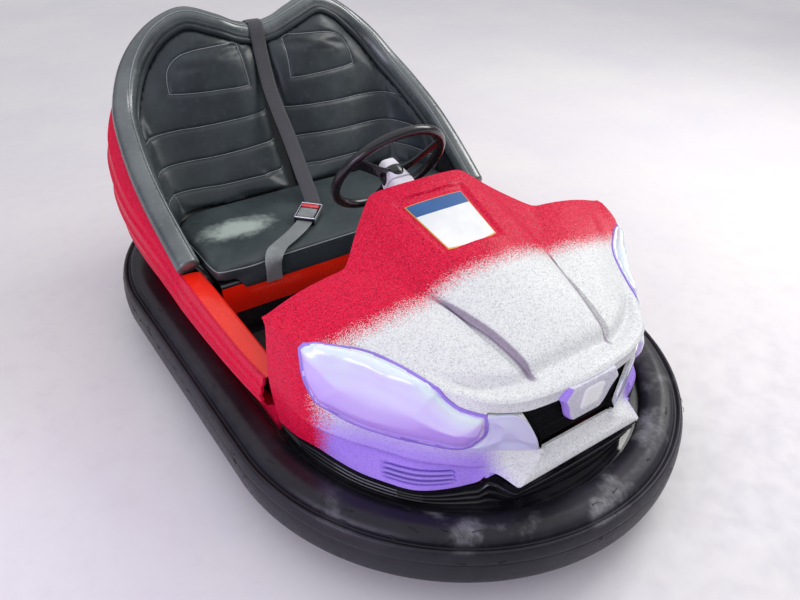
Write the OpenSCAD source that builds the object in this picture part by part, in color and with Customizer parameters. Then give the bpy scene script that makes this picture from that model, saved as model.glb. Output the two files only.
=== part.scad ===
// Two-seat battery bumper car with a rubber bumper ring, a steered front drive wheel and two free rear wheels.
// The car faces -Y, the driver's left is +X, and the origin is on the floor under the middle of the bumper ring.
// Lengths are millimetres.

/* [Bumper ring] */
// Width of the bumper ring over its outer wall
bumper_w = 1200; // [1160:10:1300]
// Length of the bumper ring over its outer wall
bumper_l = 1920; // [1860:10:2060]
// Height of the bumper's underside above the floor
bumper_clear = 85; // [70:1:100]
// Radial width of the rubber section
bumper_t = 110; // [100:1:125]
// Thickness of the steel band that the rubber sits on
band_t = 6; // [4:0.5:10]

/* [Chassis] */
// Underside of the chassis rails above the floor
rail_z = 115; // [105:1:125]
// Height of rails and cross members
rail_h = 40; // [30:1:50]
// Width of rails and cross members
rail_w = 30; // [25:1:40]
// Distance of each rail's middle from the car's middle
rail_x = 210; // [205:1:235]
// Radius of the tie-down holes through the rails
tie_down_r = 6.5; // [5:0.5:8]
// Distance of the tie-down holes from the car's middle, along the rails
tie_down_y = 580; // [560:5:640]
// Thickness of the floor plate
floor_t = 4; // [3:0.5:6]
// Thickness of the rubber mat in the footwell
mat_t = 4; // [2:0.5:8]

/* [Wheels] */
// Outer radius of all three tyres
tyre_r = 100; // [90:1:105]
// Width of the driven front tyre
drive_tyre_w = 60; // [50:1:70]
// Width of each rear tyre
rear_tyre_w = 50; // [40:1:60]
// Radius of the hubs inside the tyres
hub_r = 62; // [50:1:70]
// Radius of the wheel axles and spindles
axle_r = 10; // [8:0.5:14]
// Place of the drive unit ahead of the car's middle
drive_y = -450; // [-470:1:-430]
// Place of the rear axle behind the car's middle
rear_y = 450; // [430:1:470]
// Distance of each rear wheel's middle from the car's middle
rear_x = 330; // [320:1:340]

/* [Steering] */
// Height of the steering wheel's middle
wheel_z = 611; // [595:1:625]
// Place of the steering wheel's middle along the car
wheel_y = -69; // [-90:1:-50]
// Angle of the steering column above level
column_tilt = 32.8; // [30:0.1:36]
// Radius of the steering wheel at the middle of its rim
wheel_rim_r = 151; // [135:1:160]
// Radius of the rim's own section
wheel_grip_r = 12.5; // [10:0.5:16]
// Radius of the steering shaft
shaft_r = 10; // [8:0.5:13]
// Outer radius of the column housing
column_r = 20; // [16:0.5:26]

/* [Body] */
// Thickness of the moulded body shells
skin_t = 7; // [5:0.5:10]
// Radius of the padded roll on the edge of the seat tub
roll_r = 32; // [28:1:36]
// Height of the lower edge of the body's side moulding
lip_z = 250; // [240:1:262]
// Gap between the body's foot and the inner wall of the bumper ring
foot_gap = 14; // [8:1:30]
// Thickness of the headlight covers
lamp_t = 5; // [3:0.5:8]

/* [Seat] */
// Height of the seat base's top face
seat_z = 331; // [310:1:340]
// Thickness of the seat cushion
cushion_t = 42; // [30:1:60]
// Gap between each side of the seat cushion and the foot of the seat shell
cushion_gap = 12; // [8:1:40]
// Front edge of the cushion
cushion_front_y = 82; // [70:1:100]
// Thickness of the backrest pads
pad_t = 40; // [25:1:48]
// Half the gap between the two backrest pads at their foot
pad_gap = 12.6; // [8:0.2:20]

/* [Running clearances] */
// Radial clearance of a shaft in its bore
bore_clear = 0.1; // [0.05:0.05:0.3]
// Gap between seated pieces
seat_gap = 0.3; // [0.2:0.1:0.5]
// Gap between the moving drive unit and what is round it
swing_clear = 12; // [8:1:15]

/* [Hidden] */
$fn = 96;

// Vector helpers
function lerp(a, b, t) = a + (b - a) * t;
function unit(v) = v / norm(v);
function mirror_x(p) = [-p[0], p[1], p[2]];

// Row of a table at the real-valued place u, along a smooth curve through the rows
function along(table, u) =
    let (last = len(table) - 1, i = min(last - 1, max(0, floor(u))), t = u - i,
         a = table[max(0, i - 1)], b = table[i], c = table[i + 1], d = table[min(last, i + 2)])
    b + t * ((c - a) / 2 + t * ((2 * a - 5 * b + 4 * c - d) / 2 + t * (3 * b - 3 * c + d - a) / 2));

// Surface normal of a grid of points at row i and column j, on the side where rows x columns is positive
function grid_normal(p, i, j) =
    let (down = p[min(len(p) - 1, i + 1)][j] - p[max(0, i - 1)][j],
         across = p[i][min(len(p[0]) - 1, j + 1)] - p[i][max(0, j - 1)])
    unit(cross(across, down));
function grid_offset(p, d) = [for (i = [0 : len(p) - 1])
    [for (j = [0 : len(p[0]) - 1]) p[i][j] + d * grid_normal(p, i, j)]];

// Closed solid between an outer and an inner grid of points; cells where keep[i][j] is false are holes
module sheet(outer, inner, keep = undef) {
    rows = len(outer);
    cols = len(outer[0]);
    half = rows * cols;
    points = concat([for (r = outer) for (p = r) p], [for (r = inner) for (p = r) p]);
    function on(i, j) = i >= 0 && j >= 0 && i < rows - 1 && j < cols - 1 && (is_undef(keep) || keep[i][j]);
    function o(i, j) = i * cols + j;
    function n(i, j) = half + i * cols + j;
    function quad(a, b, c, d) = [[a, b, c], [a, c, d]];
    faces = [for (i = [0 : rows - 2]) for (j = [0 : cols - 2]) if (on(i, j)) for (f = concat(
        quad(o(i, j), o(i + 1, j), o(i + 1, j + 1), o(i, j + 1)),
        quad(n(i, j), n(i, j + 1), n(i + 1, j + 1), n(i + 1, j)),
        on(i - 1, j) ? [] : quad(o(i, j), o(i, j + 1), n(i, j + 1), n(i, j)),
        on(i + 1, j) ? [] : quad(o(i + 1, j + 1), o(i + 1, j), n(i + 1, j), n(i + 1, j + 1)),
        on(i, j - 1) ? [] : quad(o(i + 1, j), o(i, j), n(i, j), n(i + 1, j)),
        on(i, j + 1) ? [] : quad(o(i, j + 1), o(i + 1, j + 1), n(i + 1, j + 1), n(i, j + 1)))) f];
    polyhedron(points, faces);
}

// Closed solid through a list of rings of points
module rings_solid(rings) {
    count = len(rings);
    n = len(rings[0]);
    faces = concat(
        [for (i = [0 : count - 2]) for (j = [0 : n - 1]) for (f = [
            [i * n + j, (i + 1) * n + j, (i + 1) * n + (j + 1) % n],
            [i * n + j, (i + 1) * n + (j + 1) % n, i * n + (j + 1) % n]]) f],
        [[for (j = [0 : n - 1]) j]],
        [[for (j = [n - 1 : -1 : 0]) (count - 1) * n + j]]);
    polyhedron([for (r = rings) for (p = r) p], faces);
}

module both_sides() {
    children();
    mirror([1, 0, 0]) children();
}

// Stadium of half width r whose ends are centred on y = +-c
module stadium(r, c) {
    square([2 * r, 2 * c], center = true);
    for (s = [-1, 1]) translate([0, s * c]) circle(r);
}

// Bumper ring
bumper_r = bumper_w / 2;
end_c = bumper_l / 2 - bumper_r;
band_r = bumper_r - bumper_t - seat_gap;
rail_top = rail_z + rail_h;
floor_top = rail_top + floor_t;

// The body's tables are drawn inside a ring of inner radius 490 whose end centres lie at y = +-360, and follow the
// real ring
fit = (bumper_r - bumper_t) / 490;
function fit_y(y) = sign(y) * (abs(y) > 360 ? end_c + fit * (abs(y) - 360) : abs(y) * end_c / 360);
function fitted(p) = [fit * p[0], fit_y(p[1]), p[2]];
// Direction out to the ring's wall from a point inside the ring, and the point's foot beside that wall
function ring_centre(p) = [0, max(-end_c, min(end_c, p[1])), 0];
function ring_out(p) = let (d = p - ring_centre(p)) unit([d[0], d[1], 0]);
function ring_foot(p, gap, z) = let (q = ring_centre(p) + (bumper_r - bumper_t - gap) * ring_out(p)) [q[0], q[1], z];

// Section of the rubber ring: distance out from its inner wall, height above its underside
bumper_section = [
    [0, 15], [0, 78], [6, 93], [22, 103], [52, 107], [74, 101], [84, 90], [88, 84], [92, 84], [98, 88],
    [104, 83], [108, 70], [110, 40], [107, 6], [102, 0], [12, 0]];

module ring_of(r) {
    for (s = [0, 1]) rotate([0, 0, 180 * s]) translate([0, end_c, 0]) rotate_extrude(angle = 180) translate([r, 0]) children();
    for (s = [0, 1]) rotate([0, 0, 180 * s]) translate([0, end_c, 0]) rotate([90, 0, 0]) linear_extrude(2 * end_c)
        translate([r, 0]) children();
}

module bumper_tyre() {
    color("#1b1b1d") translate([0, 0, bumper_clear]) ring_of(bumper_r - bumper_t)
        polygon([for (p = bumper_section) [p[0] * bumper_t / 110, p[1]]]);
}

module rim_band() {
    color("#2a2a2d") translate([0, 0, bumper_clear + 15]) linear_extrude(rail_top + floor_t - bumper_clear - 15) difference() {
        stadium(band_r, end_c);
        stadium(band_r - band_t, end_c);
    }
}

// Chassis
// Radius that the drive unit sweeps under the floor plate as it turns
sweep_r = 162;
module frame_rails() {
    color("#2b2b2e") translate([0, 0, rail_z]) linear_extrude(rail_h) intersection() {
        stadium(band_r - band_t - seat_gap, end_c);
        both_sides() translate([rail_x - rail_w / 2, -bumper_l / 2]) difference() {
            square([rail_w, bumper_l]);
            for (s = [-1, 1]) translate([rail_w / 2, bumper_l / 2 + s * tie_down_y]) circle(tie_down_r);
        }
    }
}

cross_ys = [-end_c - 375, drive_y + sweep_r + swing_clear + 31, cushion_front_y + 98, end_c + 340];
module cross_members() {
    inner = rail_x - rail_w / 2;
    outer = rail_x + rail_w / 2;
    color("#2b2b2e") translate([0, 0, rail_z]) linear_extrude(rail_h) intersection() {
        stadium(band_r - band_t - seat_gap, end_c);
        for (y = cross_ys) translate([0, y - rail_w / 2]) {
            translate([-inner, 0]) square([2 * inner, rail_w]);
            both_sides() translate([outer, 0]) square([bumper_r, rail_w]);
        }
    }
}

module floor_pan() {
    color("#151517") translate([0, 0, rail_top]) linear_extrude(floor_t) difference() {
        stadium(band_r - band_t - seat_gap, end_c);
        translate([0, drive_y]) circle(sweep_r + swing_clear);
        both_sides() translate([rear_x, rear_y]) square([rear_tyre_w + 30, 2 * tyre_r + 30], center = true);
    }
}

// Rear axle: a square bar under the rails, with a spindle, shoulder and end nut for each wheel
module rear_axle() {
    shoulder = rear_x - rear_tyre_w / 2 - seat_gap;
    color("#3a3a3e") translate([0, rear_y, tyre_r]) {
        translate([0, 0, (rail_z - tyre_r) / 2 - 7.5]) cube([2 * shoulder - 40, 30, rail_z - tyre_r + 15], center = true);
        both_sides() rotate([0, 90, 0]) {
            translate([0, 0, shoulder - 30]) cylinder(h = 30, r = axle_r + 6);
            translate([0, 0, shoulder - 1]) cylinder(h = rear_tyre_w + 12, r = axle_r);
            translate([0, 0, rear_x + rear_tyre_w / 2 + seat_gap]) cylinder(h = 8, r = axle_r + 6);
        }
    }
}

module hub(w) {
    difference() {
        cylinder(h = w, r = hub_r - seat_gap, center = true);
        cylinder(h = w + 2, r = axle_r + bore_clear, center = true);
        for (s = [-1, 1]) translate([0, 0, s * w / 2]) rotate_extrude() polygon([[axle_r + 14, -12], [hub_r - 14, -12],
            [hub_r - 10, 1], [hub_r - 10, 12], [axle_r + 10, 12], [axle_r + 10, 1]]);
    }
}

module tyre(w) {
    rotate_extrude() polygon([[hub_r, -w / 2], [tyre_r - 6, -w / 2], [tyre_r, -w / 2 + 8], [tyre_r, w / 2 - 8],
        [tyre_r - 6, w / 2], [hub_r, w / 2]]);
}

module at_rear(side) { translate([side * rear_x, rear_y, tyre_r]) rotate([0, 90, 0]) children(); }
module at_drive() { translate([0, drive_y, tyre_r]) rotate([0, 90, 0]) children(); }
module rear_hub_left() { color("#8d8f94") at_rear(1) hub(rear_tyre_w); }
module rear_hub_right() { color("#8d8f94") at_rear(-1) hub(rear_tyre_w); }
module rear_tyre_left() { color("#202022") at_rear(1) tyre(rear_tyre_w); }
module rear_tyre_right() { color("#202022") at_rear(-1) tyre(rear_tyre_w); }
module drive_hub() { color("#8d8f94") at_drive() hub(drive_tyre_w); }
module drive_tyre() { color("#202022") at_drive() tyre(drive_tyre_w); }

// Drive unit: a fork that turns on a stem in the bridge over the wheel, with the motor on its left cheek
bridge_top = 308;
bridge_t = 8;
stem_r = 20;
stem_top = 345;
cheek_x = drive_tyre_w / 2 + 15;
cheek_t = 10;
disc_top = bridge_top - bridge_t - 10;
motor_r = 60;
motor_l = 95;

module drive_fork() {
    color("#55575c") translate([0, drive_y, 0]) {
        translate([0, 0, disc_top - 10]) cylinder(h = 10, r = 75);
        translate([0, 0, disc_top - 1]) cylinder(h = stem_top - disc_top + 1, r = stem_r);
        translate([0, 0, disc_top - 1]) cylinder(h = bridge_top - bridge_t - seat_gap - disc_top + 1, r = stem_r + 12);
        both_sides() translate([cheek_x, -40, tyre_r - 30]) cube([cheek_t, 80, disc_top - tyre_r + 25]);
        translate([0, 0, tyre_r]) rotate([0, 90, 0]) cylinder(h = 2 * cheek_x + 2, r = axle_r, center = true);
    }
}

module drive_motor() {
    color("#7d3b1e") translate([cheek_x + cheek_t, drive_y, tyre_r + 10]) rotate([0, 90, 0]) {
        cylinder(h = motor_l, r = motor_r);
    }
}

module drive_bridge() {
    half = sweep_r + swing_clear + 30;
    color("#2f3034") difference() {
        translate([0, drive_y, 0]) {
            translate([-half - 10, -60, bridge_top - bridge_t]) cube([2 * half + 20, 120, bridge_t]);
            both_sides() translate([half, -60, floor_top]) cube([10, 120, bridge_top - floor_top - 1]);
        }
        translate([0, drive_y, bridge_top - 20]) cylinder(h = 40, r = stem_r + bore_clear);
    }
}

// Steering: the column's own frame has its origin at the steering wheel's middle and +Z towards the driver
module on_column() { translate([0, wheel_y, wheel_z]) rotate([column_tilt - 90, 0, 0]) children(); }
function column_at(d) = [0, wheel_y - d * cos(column_tilt), wheel_z - d * sin(column_tilt)];
box_l = 90;
column_low = (wheel_y - drive_y - box_l / 2) / cos(column_tilt);
shaft_l = column_low + 24;
column_high = 62;

module steering_box() {
    color("#3c3d42") difference() {
        translate([-box_l / 2, drive_y - box_l / 2, bridge_top]) cube([box_l, box_l, 120]);
        translate([0, drive_y, bridge_top - 1]) cylinder(h = stem_top + 6 - bridge_top, r = stem_r + bore_clear);
        on_column() translate([0, 0, -shaft_l - 2]) cylinder(h = shaft_l, r = shaft_r + bore_clear);
    }
}

module steering_tube() {
    color("#d9d2ea") difference() {
        on_column() translate([0, 0, -column_low - 40]) cylinder(h = column_low + 40 - column_high, r = column_r);
        translate([-100, drive_y - 200 + box_l / 2, bridge_top - 40]) cube([200, 200, 300]);
        on_column() translate([0, 0, -column_low - 60]) cylinder(h = column_low + 100, r = shaft_r + bore_clear);
    }
}

module steering_shaft() {
    color("#9a9ca2") on_column() translate([0, 0, -shaft_l]) cylinder(h = shaft_l - 14.3, r = shaft_r);
}

spoke_drop = 22;
module steering_wheel() {
    color("#141415") on_column() {
        rotate_extrude() translate([wheel_rim_r, 0]) circle(wheel_grip_r);
        translate([0, 0, -44]) difference() {
            cylinder(h = 40, r = 34);
            translate([0, 0, -1]) cylinder(h = 31, r = shaft_r);
        }
        for (a = [90, 210, 330]) rotate([0, 0, a]) translate([28, -14, -spoke_drop])
            rotate([0, -atan((spoke_drop - 6) / (wheel_rim_r - 34)), 0]) cube([wheel_rim_r - 34, 28, 7]);
    }
}

// Edge of the seat tub from its front end to the middle of the back, on the +X side
// Columns: crest of the padded roll x, y, z; foot of the seat shell x, y; lower edge of the side moulding x, y
RIM = [
    [484, 130, 392, 448, 130, 520, 130],
    [490, 217, 446, 448, 217, 521, 217],
    [494, 304, 499, 445, 300, 521, 305],
    [493, 394, 553, 436, 372, 522, 393],
    [482, 495, 612, 415, 425, 518, 483],
    [461, 588, 671, 385, 458, 497, 567],
    [420, 653, 743, 335, 474, 447, 653],
    [360, 697, 804, 275, 480, 372, 734],
    [290, 712, 849, 215, 483, 290, 796],
    [211, 705, 872, 155, 485, 204, 838],
    [121, 690, 846, 90, 486, 117, 860],
    [61, 690, 819, 45, 486, 59, 869],
    [0, 694, 804, 0, 486, 0, 872]];
// Top edge of the tub ahead of the roll: top x, y, z; lower edge x, y
SILL = [
    [504, -330, 333, 500, -330],
    [512, -240, 336, 508, -240],
    [516, -110, 341, 515, -110],
    [516, 20, 346, 519, 20],
    [514, 95, 347, 520, 95]];
back = len(RIM) - 1;
// Place on the whole rim: u runs from 0 at the left front end over the back to 2 * back at the right front end
function rim(u) = let (r = along(RIM, u <= back ? u : 2 * back - u), x = u <= back ? fit : -fit)
    [x * r[0], fit_y(r[1]), r[2], x * r[3], fit_y(r[4]), x * r[5], fit_y(r[6])];
function sill(k) = let (r = along(SILL, k)) [fit * r[0], fit_y(r[1]), r[2], fit * r[3], fit_y(r[4])];
function rim_crest(u) = let (r = rim(u)) [r[0], r[1], r[2]];
function rim_out(u) = let (e = 0.05, a = rim(max(0, u - e)), b = rim(min(2 * back, u + e))) unit([b[1] - a[1], a[0] - b[0], 0]);
function rim_way(u) = let (e = 0.1) unit(rim_crest(min(2 * back, u + e)) - rim_crest(max(0, u - e)));
function rim_up(u) = unit(cross(rim_out(u), rim_way(u)));
function roll_centre(u) = rim_crest(u) - roll_r * rim_up(u);
// Where a shell meets the underside of the roll: side 1 outside its middle and side -1 inside it, under a roll
// whose middle lies near millimetres beside the shell's nearer face
roll_edge = roll_r * 0.7;
function roll_seat(u, side, near) = roll_centre(u) + side * roll_edge * rim_out(u)
    - (sqrt(roll_r * roll_r - near * near) + seat_gap) * rim_up(u);

module bolster() {
    color("#1d1f22") rings_solid([for (u = [0 : 0.5 : 2 * back])
        [for (k = [0 : 11]) roll_centre(u) + roll_r * (cos(30 * k) * rim_out(u) + sin(30 * k) * rim_up(u))]]);
}

// Tub: rows from its top edge down its bulging side to the moulding's lower edge, and in to its foot on the floor plate
tub_belly = 0.06;
function tub_column(top, lip, out) = let (foot = ring_foot(lip, foot_gap, floor_top)) concat(
    [for (t = [0, 0.25, 0.5, 0.75, 1]) lerp(top, lip, t) + tub_belly * (top[2] - lip[2]) * sin(180 * t) * out],
    [[lerp(lip, foot, 0.8)[0], lerp(lip, foot, 0.8)[1], lip_z - 12], foot]);
function sill_column(r, side) = tub_column([side * r[0], r[1], r[2]], [side * r[3], r[4], lip_z], [side, 0, 0]);
function rim_column(u) = let (r = rim(u), out = rim_out(u))
    tub_column(roll_seat(u, 1, roll_edge - skin_t), [r[5], r[6], lip_z], out);
tub_columns = concat(
    [for (k = [0 : 0.5 : len(SILL) - 1]) sill_column(sill(k), 1)],
    [for (u = [0 : 0.5 : 2 * back]) rim_column(u)],
    [for (k = [len(SILL) - 1 : -0.5 : 0]) sill_column(sill(k), -1)]);
tub_outer = [for (i = [0 : len(tub_columns[0]) - 1]) [for (c = tub_columns) c[i]]];
tub_outs = concat([for (k = [0 : 0.5 : len(SILL) - 1]) [1, 0, 0]], [for (u = [0 : 0.5 : 2 * back]) rim_out(u)],
    [for (k = [0 : 0.5 : len(SILL) - 1]) [-1, 0, 0]]);
module tub() {
    inner = [for (row = tub_outer) [for (j = [0 : len(row) - 1]) row[j] - skin_t * tub_outs[j]]];
    color("#c8102e") sheet(tub_outer, inner);
}

// Inner sill and side wall of the footwell
sill_in = 452 * fit;
module cockpit_liner() {
    function line(k) = let (r = sill(k)) [[r[0] - skin_t - seat_gap, r[1], r[2]], [sill_in + 20, r[1], r[2] - 2], [sill_in, r[1], r[2] - 12],
        [sill_in - 8, r[1], r[2] - 60], [sill_in - 12, r[1], floor_top]];
    cols = [for (k = [0 : 1 : len(SILL) - 1]) line(k)];
    outer = [for (i = [0 : len(cols[0]) - 1]) [for (c = cols) c[i]]];
    color("#e0301a") both_sides() sheet(grid_offset(outer, 0), grid_offset(outer, 4));
}

// Seat base: a moulded cover over the battery and the rear axle, open below
seat_base_rear = rear_y + tyre_r + 34;
seat_base_w = sill_in - 20;
seat_base_t = 6;
module seat_base() {
    w = seat_base_w;
    front = cushion_front_y - 22;
    t = seat_base_t;
    color("#d92a1c") intersection() {
        translate([w, 0, 0]) rotate([90, 0, -90]) linear_extrude(2 * w) mirror([1, 0]) difference() {
            polygon([[front, floor_top], [front - 8, seat_z - 60], [front, seat_z - 18], [front + 14, seat_z],
                [seat_base_rear, seat_z], [seat_base_rear, floor_top]]);
            polygon([[front + t, floor_top - 1], [front + t - 7, seat_z - 60], [front + t, seat_z - 20], [front + 17, seat_z - t],
                [seat_base_rear - t, seat_z - t], [seat_base_rear - t, floor_top - 1]]);
        }
        linear_extrude(seat_z + 1) polygon([[-w, 0], [w, 0], [w, fit_y(400)], [390 * fit, fit_y(600)], [-390 * fit, fit_y(600)], [-w, fit_y(400)]]);
    }
}

// Seat shell: the inside of the tub behind and beside the seat
shell_t = 6;
shell_belly = 0.05;
pad_clear = 1.1;
pad_inner_u = back - pad_gap / (fit * RIM[back - 1][3]);
pad_outer_u = 6.5;
pad_us = [for (u = [pad_outer_u : 0.5 : back - 0.5]) u, pad_inner_u];
pad_bs = [0.97, 0.875, 0.75, 0.625, 0.5, 0.375, 0.25, 0.125, 0.03];
shell_bs = [1, for (b = pad_bs) b, 0];
half_us = [for (u = [0 : 0.5 : back - 0.5]) u, pad_inner_u];
shell_us = [for (u = half_us) u, back, for (k = [len(half_us) - 1 : -1 : 0]) 2 * back - half_us[k]];
function shell_at(u, b) = let (r = rim(u), foot = [r[3], r[4], seat_z], top = roll_seat(u, -1, roll_edge))
    lerp(foot, top, b) + shell_belly * (top[2] - foot[2]) * sin(180 * b) * rim_out(u);
module seat_shell() {
    color("#17181a") sheet([for (b = shell_bs) [for (u = shell_us) shell_at(u, b)]],
        [for (b = shell_bs) [for (u = shell_us) shell_at(u, b) - shell_t * rim_out(u)]]);
}

// The cushion follows the seat shell's plan: it narrows towards the back and ends just ahead of the pads
cushion_half_w = fit * RIM[0][3] - cushion_gap;
cushion_back_y = fit_y(RIM[back][4]) - shell_t - pad_clear - pad_t - 15;
module seat_cushion() {
    w = cushion_half_w;
    corner = 20;
    half = [[w, cushion_front_y + corner], [w, fit_y(330)], [w - 3 * cushion_gap, fit_y(330) + 55],
        [0.8 * w, cushion_back_y - 6], [0.57 * w, cushion_back_y]];
    color("#222528") translate([0, 0, seat_z]) linear_extrude(cushion_t) polygon(concat(
        [[corner + 5 - w, cushion_front_y], [w - corner - 5, cushion_front_y]], half,
        [for (k = [len(half) - 1 : -1 : 0]) [-half[k][0], half[k][1]]]));
}

// Backrest pads, each in front of the seat shell from the middle gap to where the shell turns forward
function pad_thickness(b, e) = 4 + (pad_t - 4) * pow(sin(180 * min(0.5, 4 * e)), 0.5) * (1 - pow(b, 5));
module backrest(side) {
    last = len(pad_us) - 1;
    function layer(thick) = [for (b = pad_bs) [for (k = [0 : last]) let (u = pad_us[k], e = min(k, last - k) / last + 0.02,
        p = shell_at(u, b) - (shell_t + pad_clear + thick * pad_thickness(b, e)) * rim_out(u)) [side * p[0], p[1], p[2]]]];
    color("#24272b") if (side > 0) sheet(layer(0), layer(1)); else sheet(layer(1), layer(0));
}
module backrest_left() { backrest(1); }
module backrest_right() { backrest(-1); }

// Front cowl from the middle to the rear corner of the wing, on the +X side
// Columns: rear edge x, y, z; top at the plate's foot; top near the nose; front top edge; lower edge of the lamps; bottom edge
COWL = [
    [[0, -195, 632], [0, -484, 557], [0, -655, 508], [0, -806, 446], [0, -798, 295], [0, -824, 246]],
    [[70, -193, 631], [78, -484, 551], [66, -655, 505], [50, -803, 445], [34, -798, 295], [62, -824, 246]],
    [[137, -189, 624], [163, -480, 528], [131, -658, 494], [102, -796, 443], [66, -798, 295], [120, -824, 246]],
    [[205, -242, 575], [170, -485, 521], [139, -662, 487], [112, -794, 442], [80, -798, 295], [152, -824, 246]],
    [[281, -318, 535], [177, -490, 516], [147, -666, 481], [125, -791, 441], [96, -798, 295], [185, -824, 246]],
    [[340, -325, 534], [262, -476, 514], [208, -640, 483], [178, -774, 439], [114, -797, 295], [207, -765, 254]],
    [[400, -332, 528], [325, -455, 511], [262, -605, 482], [228, -745, 442], [245, -727, 308], [246, -752, 224]],
    [[440, -338, 521], [378, -445, 507], [320, -560, 482], [284, -678, 453], [308, -662, 310], [340, -702, 216]],
    [[468, -342, 515], [425, -420, 503], [385, -490, 490], [345, -570, 470], [362, -592, 310], [393, -632, 214]],
    [[484, -344, 512], [462, -392, 504], [440, -440, 496], [415, -498, 484], [430, -520, 315], [434, -560, 214]],
    [[494, -345, 511], [488, -372, 508], [481, -402, 503], [470, -440, 496], [480, -450, 330], [470, -445, 214]],
    [[497, -345, 511], [498, -350, 510], [499, -356, 509], [500, -362, 508], [503, -356, 357], [486, -350, 212]]];
wing = len(COWL) - 1;
// Rows where the surface has a crease: the edge of the raised middle, and the fold between it and the wing
creases = [2, 4];
function rows(table, a, b) = [for (k = [a : b]) table[k]];
function across(table, s) = s <= creases[0] ? along(rows(table, 0, creases[0]), s)
    : s <= creases[1] ? along(rows(table, creases[0], creases[1]), s - creases[0])
    : along(rows(table, creases[1], wing), s - creases[1]);
// Down each column run two curves: one over the top to its front edge, and one down the front
function cowl_half(s, v) = let (col = [for (k = [0 : 5]) across([for (r = COWL) r[k]], s)])
    fitted(v <= 3 ? along(rows(col, 0, 3), v) : along(rows(col, 3, 5), v - 3));
function cowl_at(s, v) = s >= 0 ? cowl_half(s, v) : mirror_x(cowl_half(-s, v));
cowl_ss = [for (k = [-2 * wing : 2 * wing]) k / 2];
cowl_vs = [0, 0.12, 0.26, 0.5, 0.78, 1, 1.33, 1.67, 2, 2.33, 2.67, 2.9, 3, 3.08, 3.2, 3.35, 3.6, 3.8, 4, 4.25, 4.6, 5];
cowl_grid = [for (v = cowl_vs) [for (s = cowl_ss) cowl_at(-s, v)]];
function in_grille(s, v) = v > 3.2 && v < 4 && abs(s) < 5 && !(abs(s) < 0.5 && v < 3.6);
module cowl() {
    keep = [for (i = [0 : len(cowl_vs) - 2]) [for (j = [0 : len(cowl_ss) - 2])
        !in_grille((cowl_ss[j] + cowl_ss[j + 1]) / 2, (cowl_vs[i] + cowl_vs[i + 1]) / 2)]];
    color("#cf1f3c") sheet(grid_offset(cowl_grid, 0), grid_offset(cowl_grid, -skin_t), keep);
}

// Skirt that carries the cowl on the floor plate, from under the cowl's bottom edge to the foot beside the ring
skirt_gap = 28;
skirt_t = 5;
module skirt() {
    edge = cowl_grid[len(cowl_vs) - 1];
    inner_edge = grid_offset(cowl_grid, -skin_t)[len(cowl_vs) - 1];
    last = len(edge) - 1;
    function under(j) = min([for (k = [max(0, j - 1) : min(last, j + 1)]) min(edge[k][2], inner_edge[k][2])]) - seat_gap;
    top = [for (j = [0 : last]) [edge[j][0], edge[j][1], under(j)] - ring_out(edge[j])];
    low = [for (p = edge) ring_foot(p, skirt_gap, floor_top)];
    outer = [for (v = [0, 0.5, 1]) [for (j = [0 : len(edge) - 1]) lerp(top[j], low[j], v)]];
    color("#121214") sheet(outer, [for (r = outer) [for (p = r) p - skirt_t * ring_out(p)]]);
}

// Piece that follows the cowl's surface through the places ss across and vs down, from lift to lift + t out of it
function cowl_normal(s, v) = let (e = 0.02)
    unit(cross(cowl_at(s, v + e) - cowl_at(s, v - e), cowl_at(s + e, v) - cowl_at(s - e, v)));
module on_cowl(ss, vs, lift, t) {
    function layer(d) = [for (v = vs) [for (k = [len(ss) - 1 : -1 : 0]) cowl_at(ss[k], v) + d * cowl_normal(ss[k], v)]];
    sheet(layer(lift + t), layer(lift));
}
lamp_ss = [for (s = [6 : 0.5 : 9.5]) s];
lamp_vs = [3.08, 3.2, 3.35, 3.6, 3.8, 4];
fog_ss = [for (s = [6.5 : 0.5 : 8]) s];
fog_vs = [4.25, 4.6];
function other_side(ss) = [for (k = [len(ss) - 1 : -1 : 0]) -ss[k]];
module headlight_left() { color("#cdbcf4") on_cowl(lamp_ss, lamp_vs, seat_gap, lamp_t); }
module headlight_right() { color("#cdbcf4") on_cowl(other_side(lamp_ss), lamp_vs, seat_gap, lamp_t); }
module fog_lamp_left() { color("#3a3344") on_cowl(fog_ss, fog_vs, seat_gap, 3); }
module fog_lamp_right() { color("#3a3344") on_cowl(other_side(fog_ss), fog_vs, seat_gap, 3); }
module grille_panel() {
    color("#101012") on_cowl([for (s = [-5.5 : 0.5 : 5.5]) s], [3.08, 3.2, 3.35, 3.6, 3.8, 3.95], -skin_t - 2 * seat_gap - 4.2, 4);
}
module badge() { color("#f2f2f2") on_cowl([-0.5, 0, 0.5], [3.08, 3.2, 3.35], seat_gap, 3); }
module number_plate() { color("#f4f4f4") on_cowl([-1, -0.5, 0, 0.5, 1], [0.26, 0.5, 0.78], seat_gap, 2); }

// Panel that closes the cowl behind the column, from the cowl's rear edge down to the footwell
module dash_panel() {
    us = [for (k = [-16 : 16]) -k * (wing - 2) / 16];
    top = [for (s = us) cowl_at(s, 0.12) - (skin_t + 2.5) * cowl_normal(s, 0.12)];
    low = [for (p = top) [p[0], fit_y(-352), 335]];
    outer = [for (i = [0 : 6]) [for (j = [0 : 32]) lerp(top[j], low[j], i / 6)]];
    inner = [for (r = outer) [for (p = r) p - [0, 4, 0]]];
    keep = [for (i = [0 : 5]) [for (j = [0 : 31]) !(i >= 1 && i <= 3 && j >= 15 && j <= 16)]];
    color("#1a1a1d") sheet(inner, outer, keep);
}

// Footwell
module floor_mat() {
    front = drive_y + sweep_r + swing_clear + 40;
    color("#19191b") translate([-seat_base_w, front, floor_top]) cube([2 * seat_base_w, cushion_front_y - 40 - front, mat_t]);
}

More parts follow.
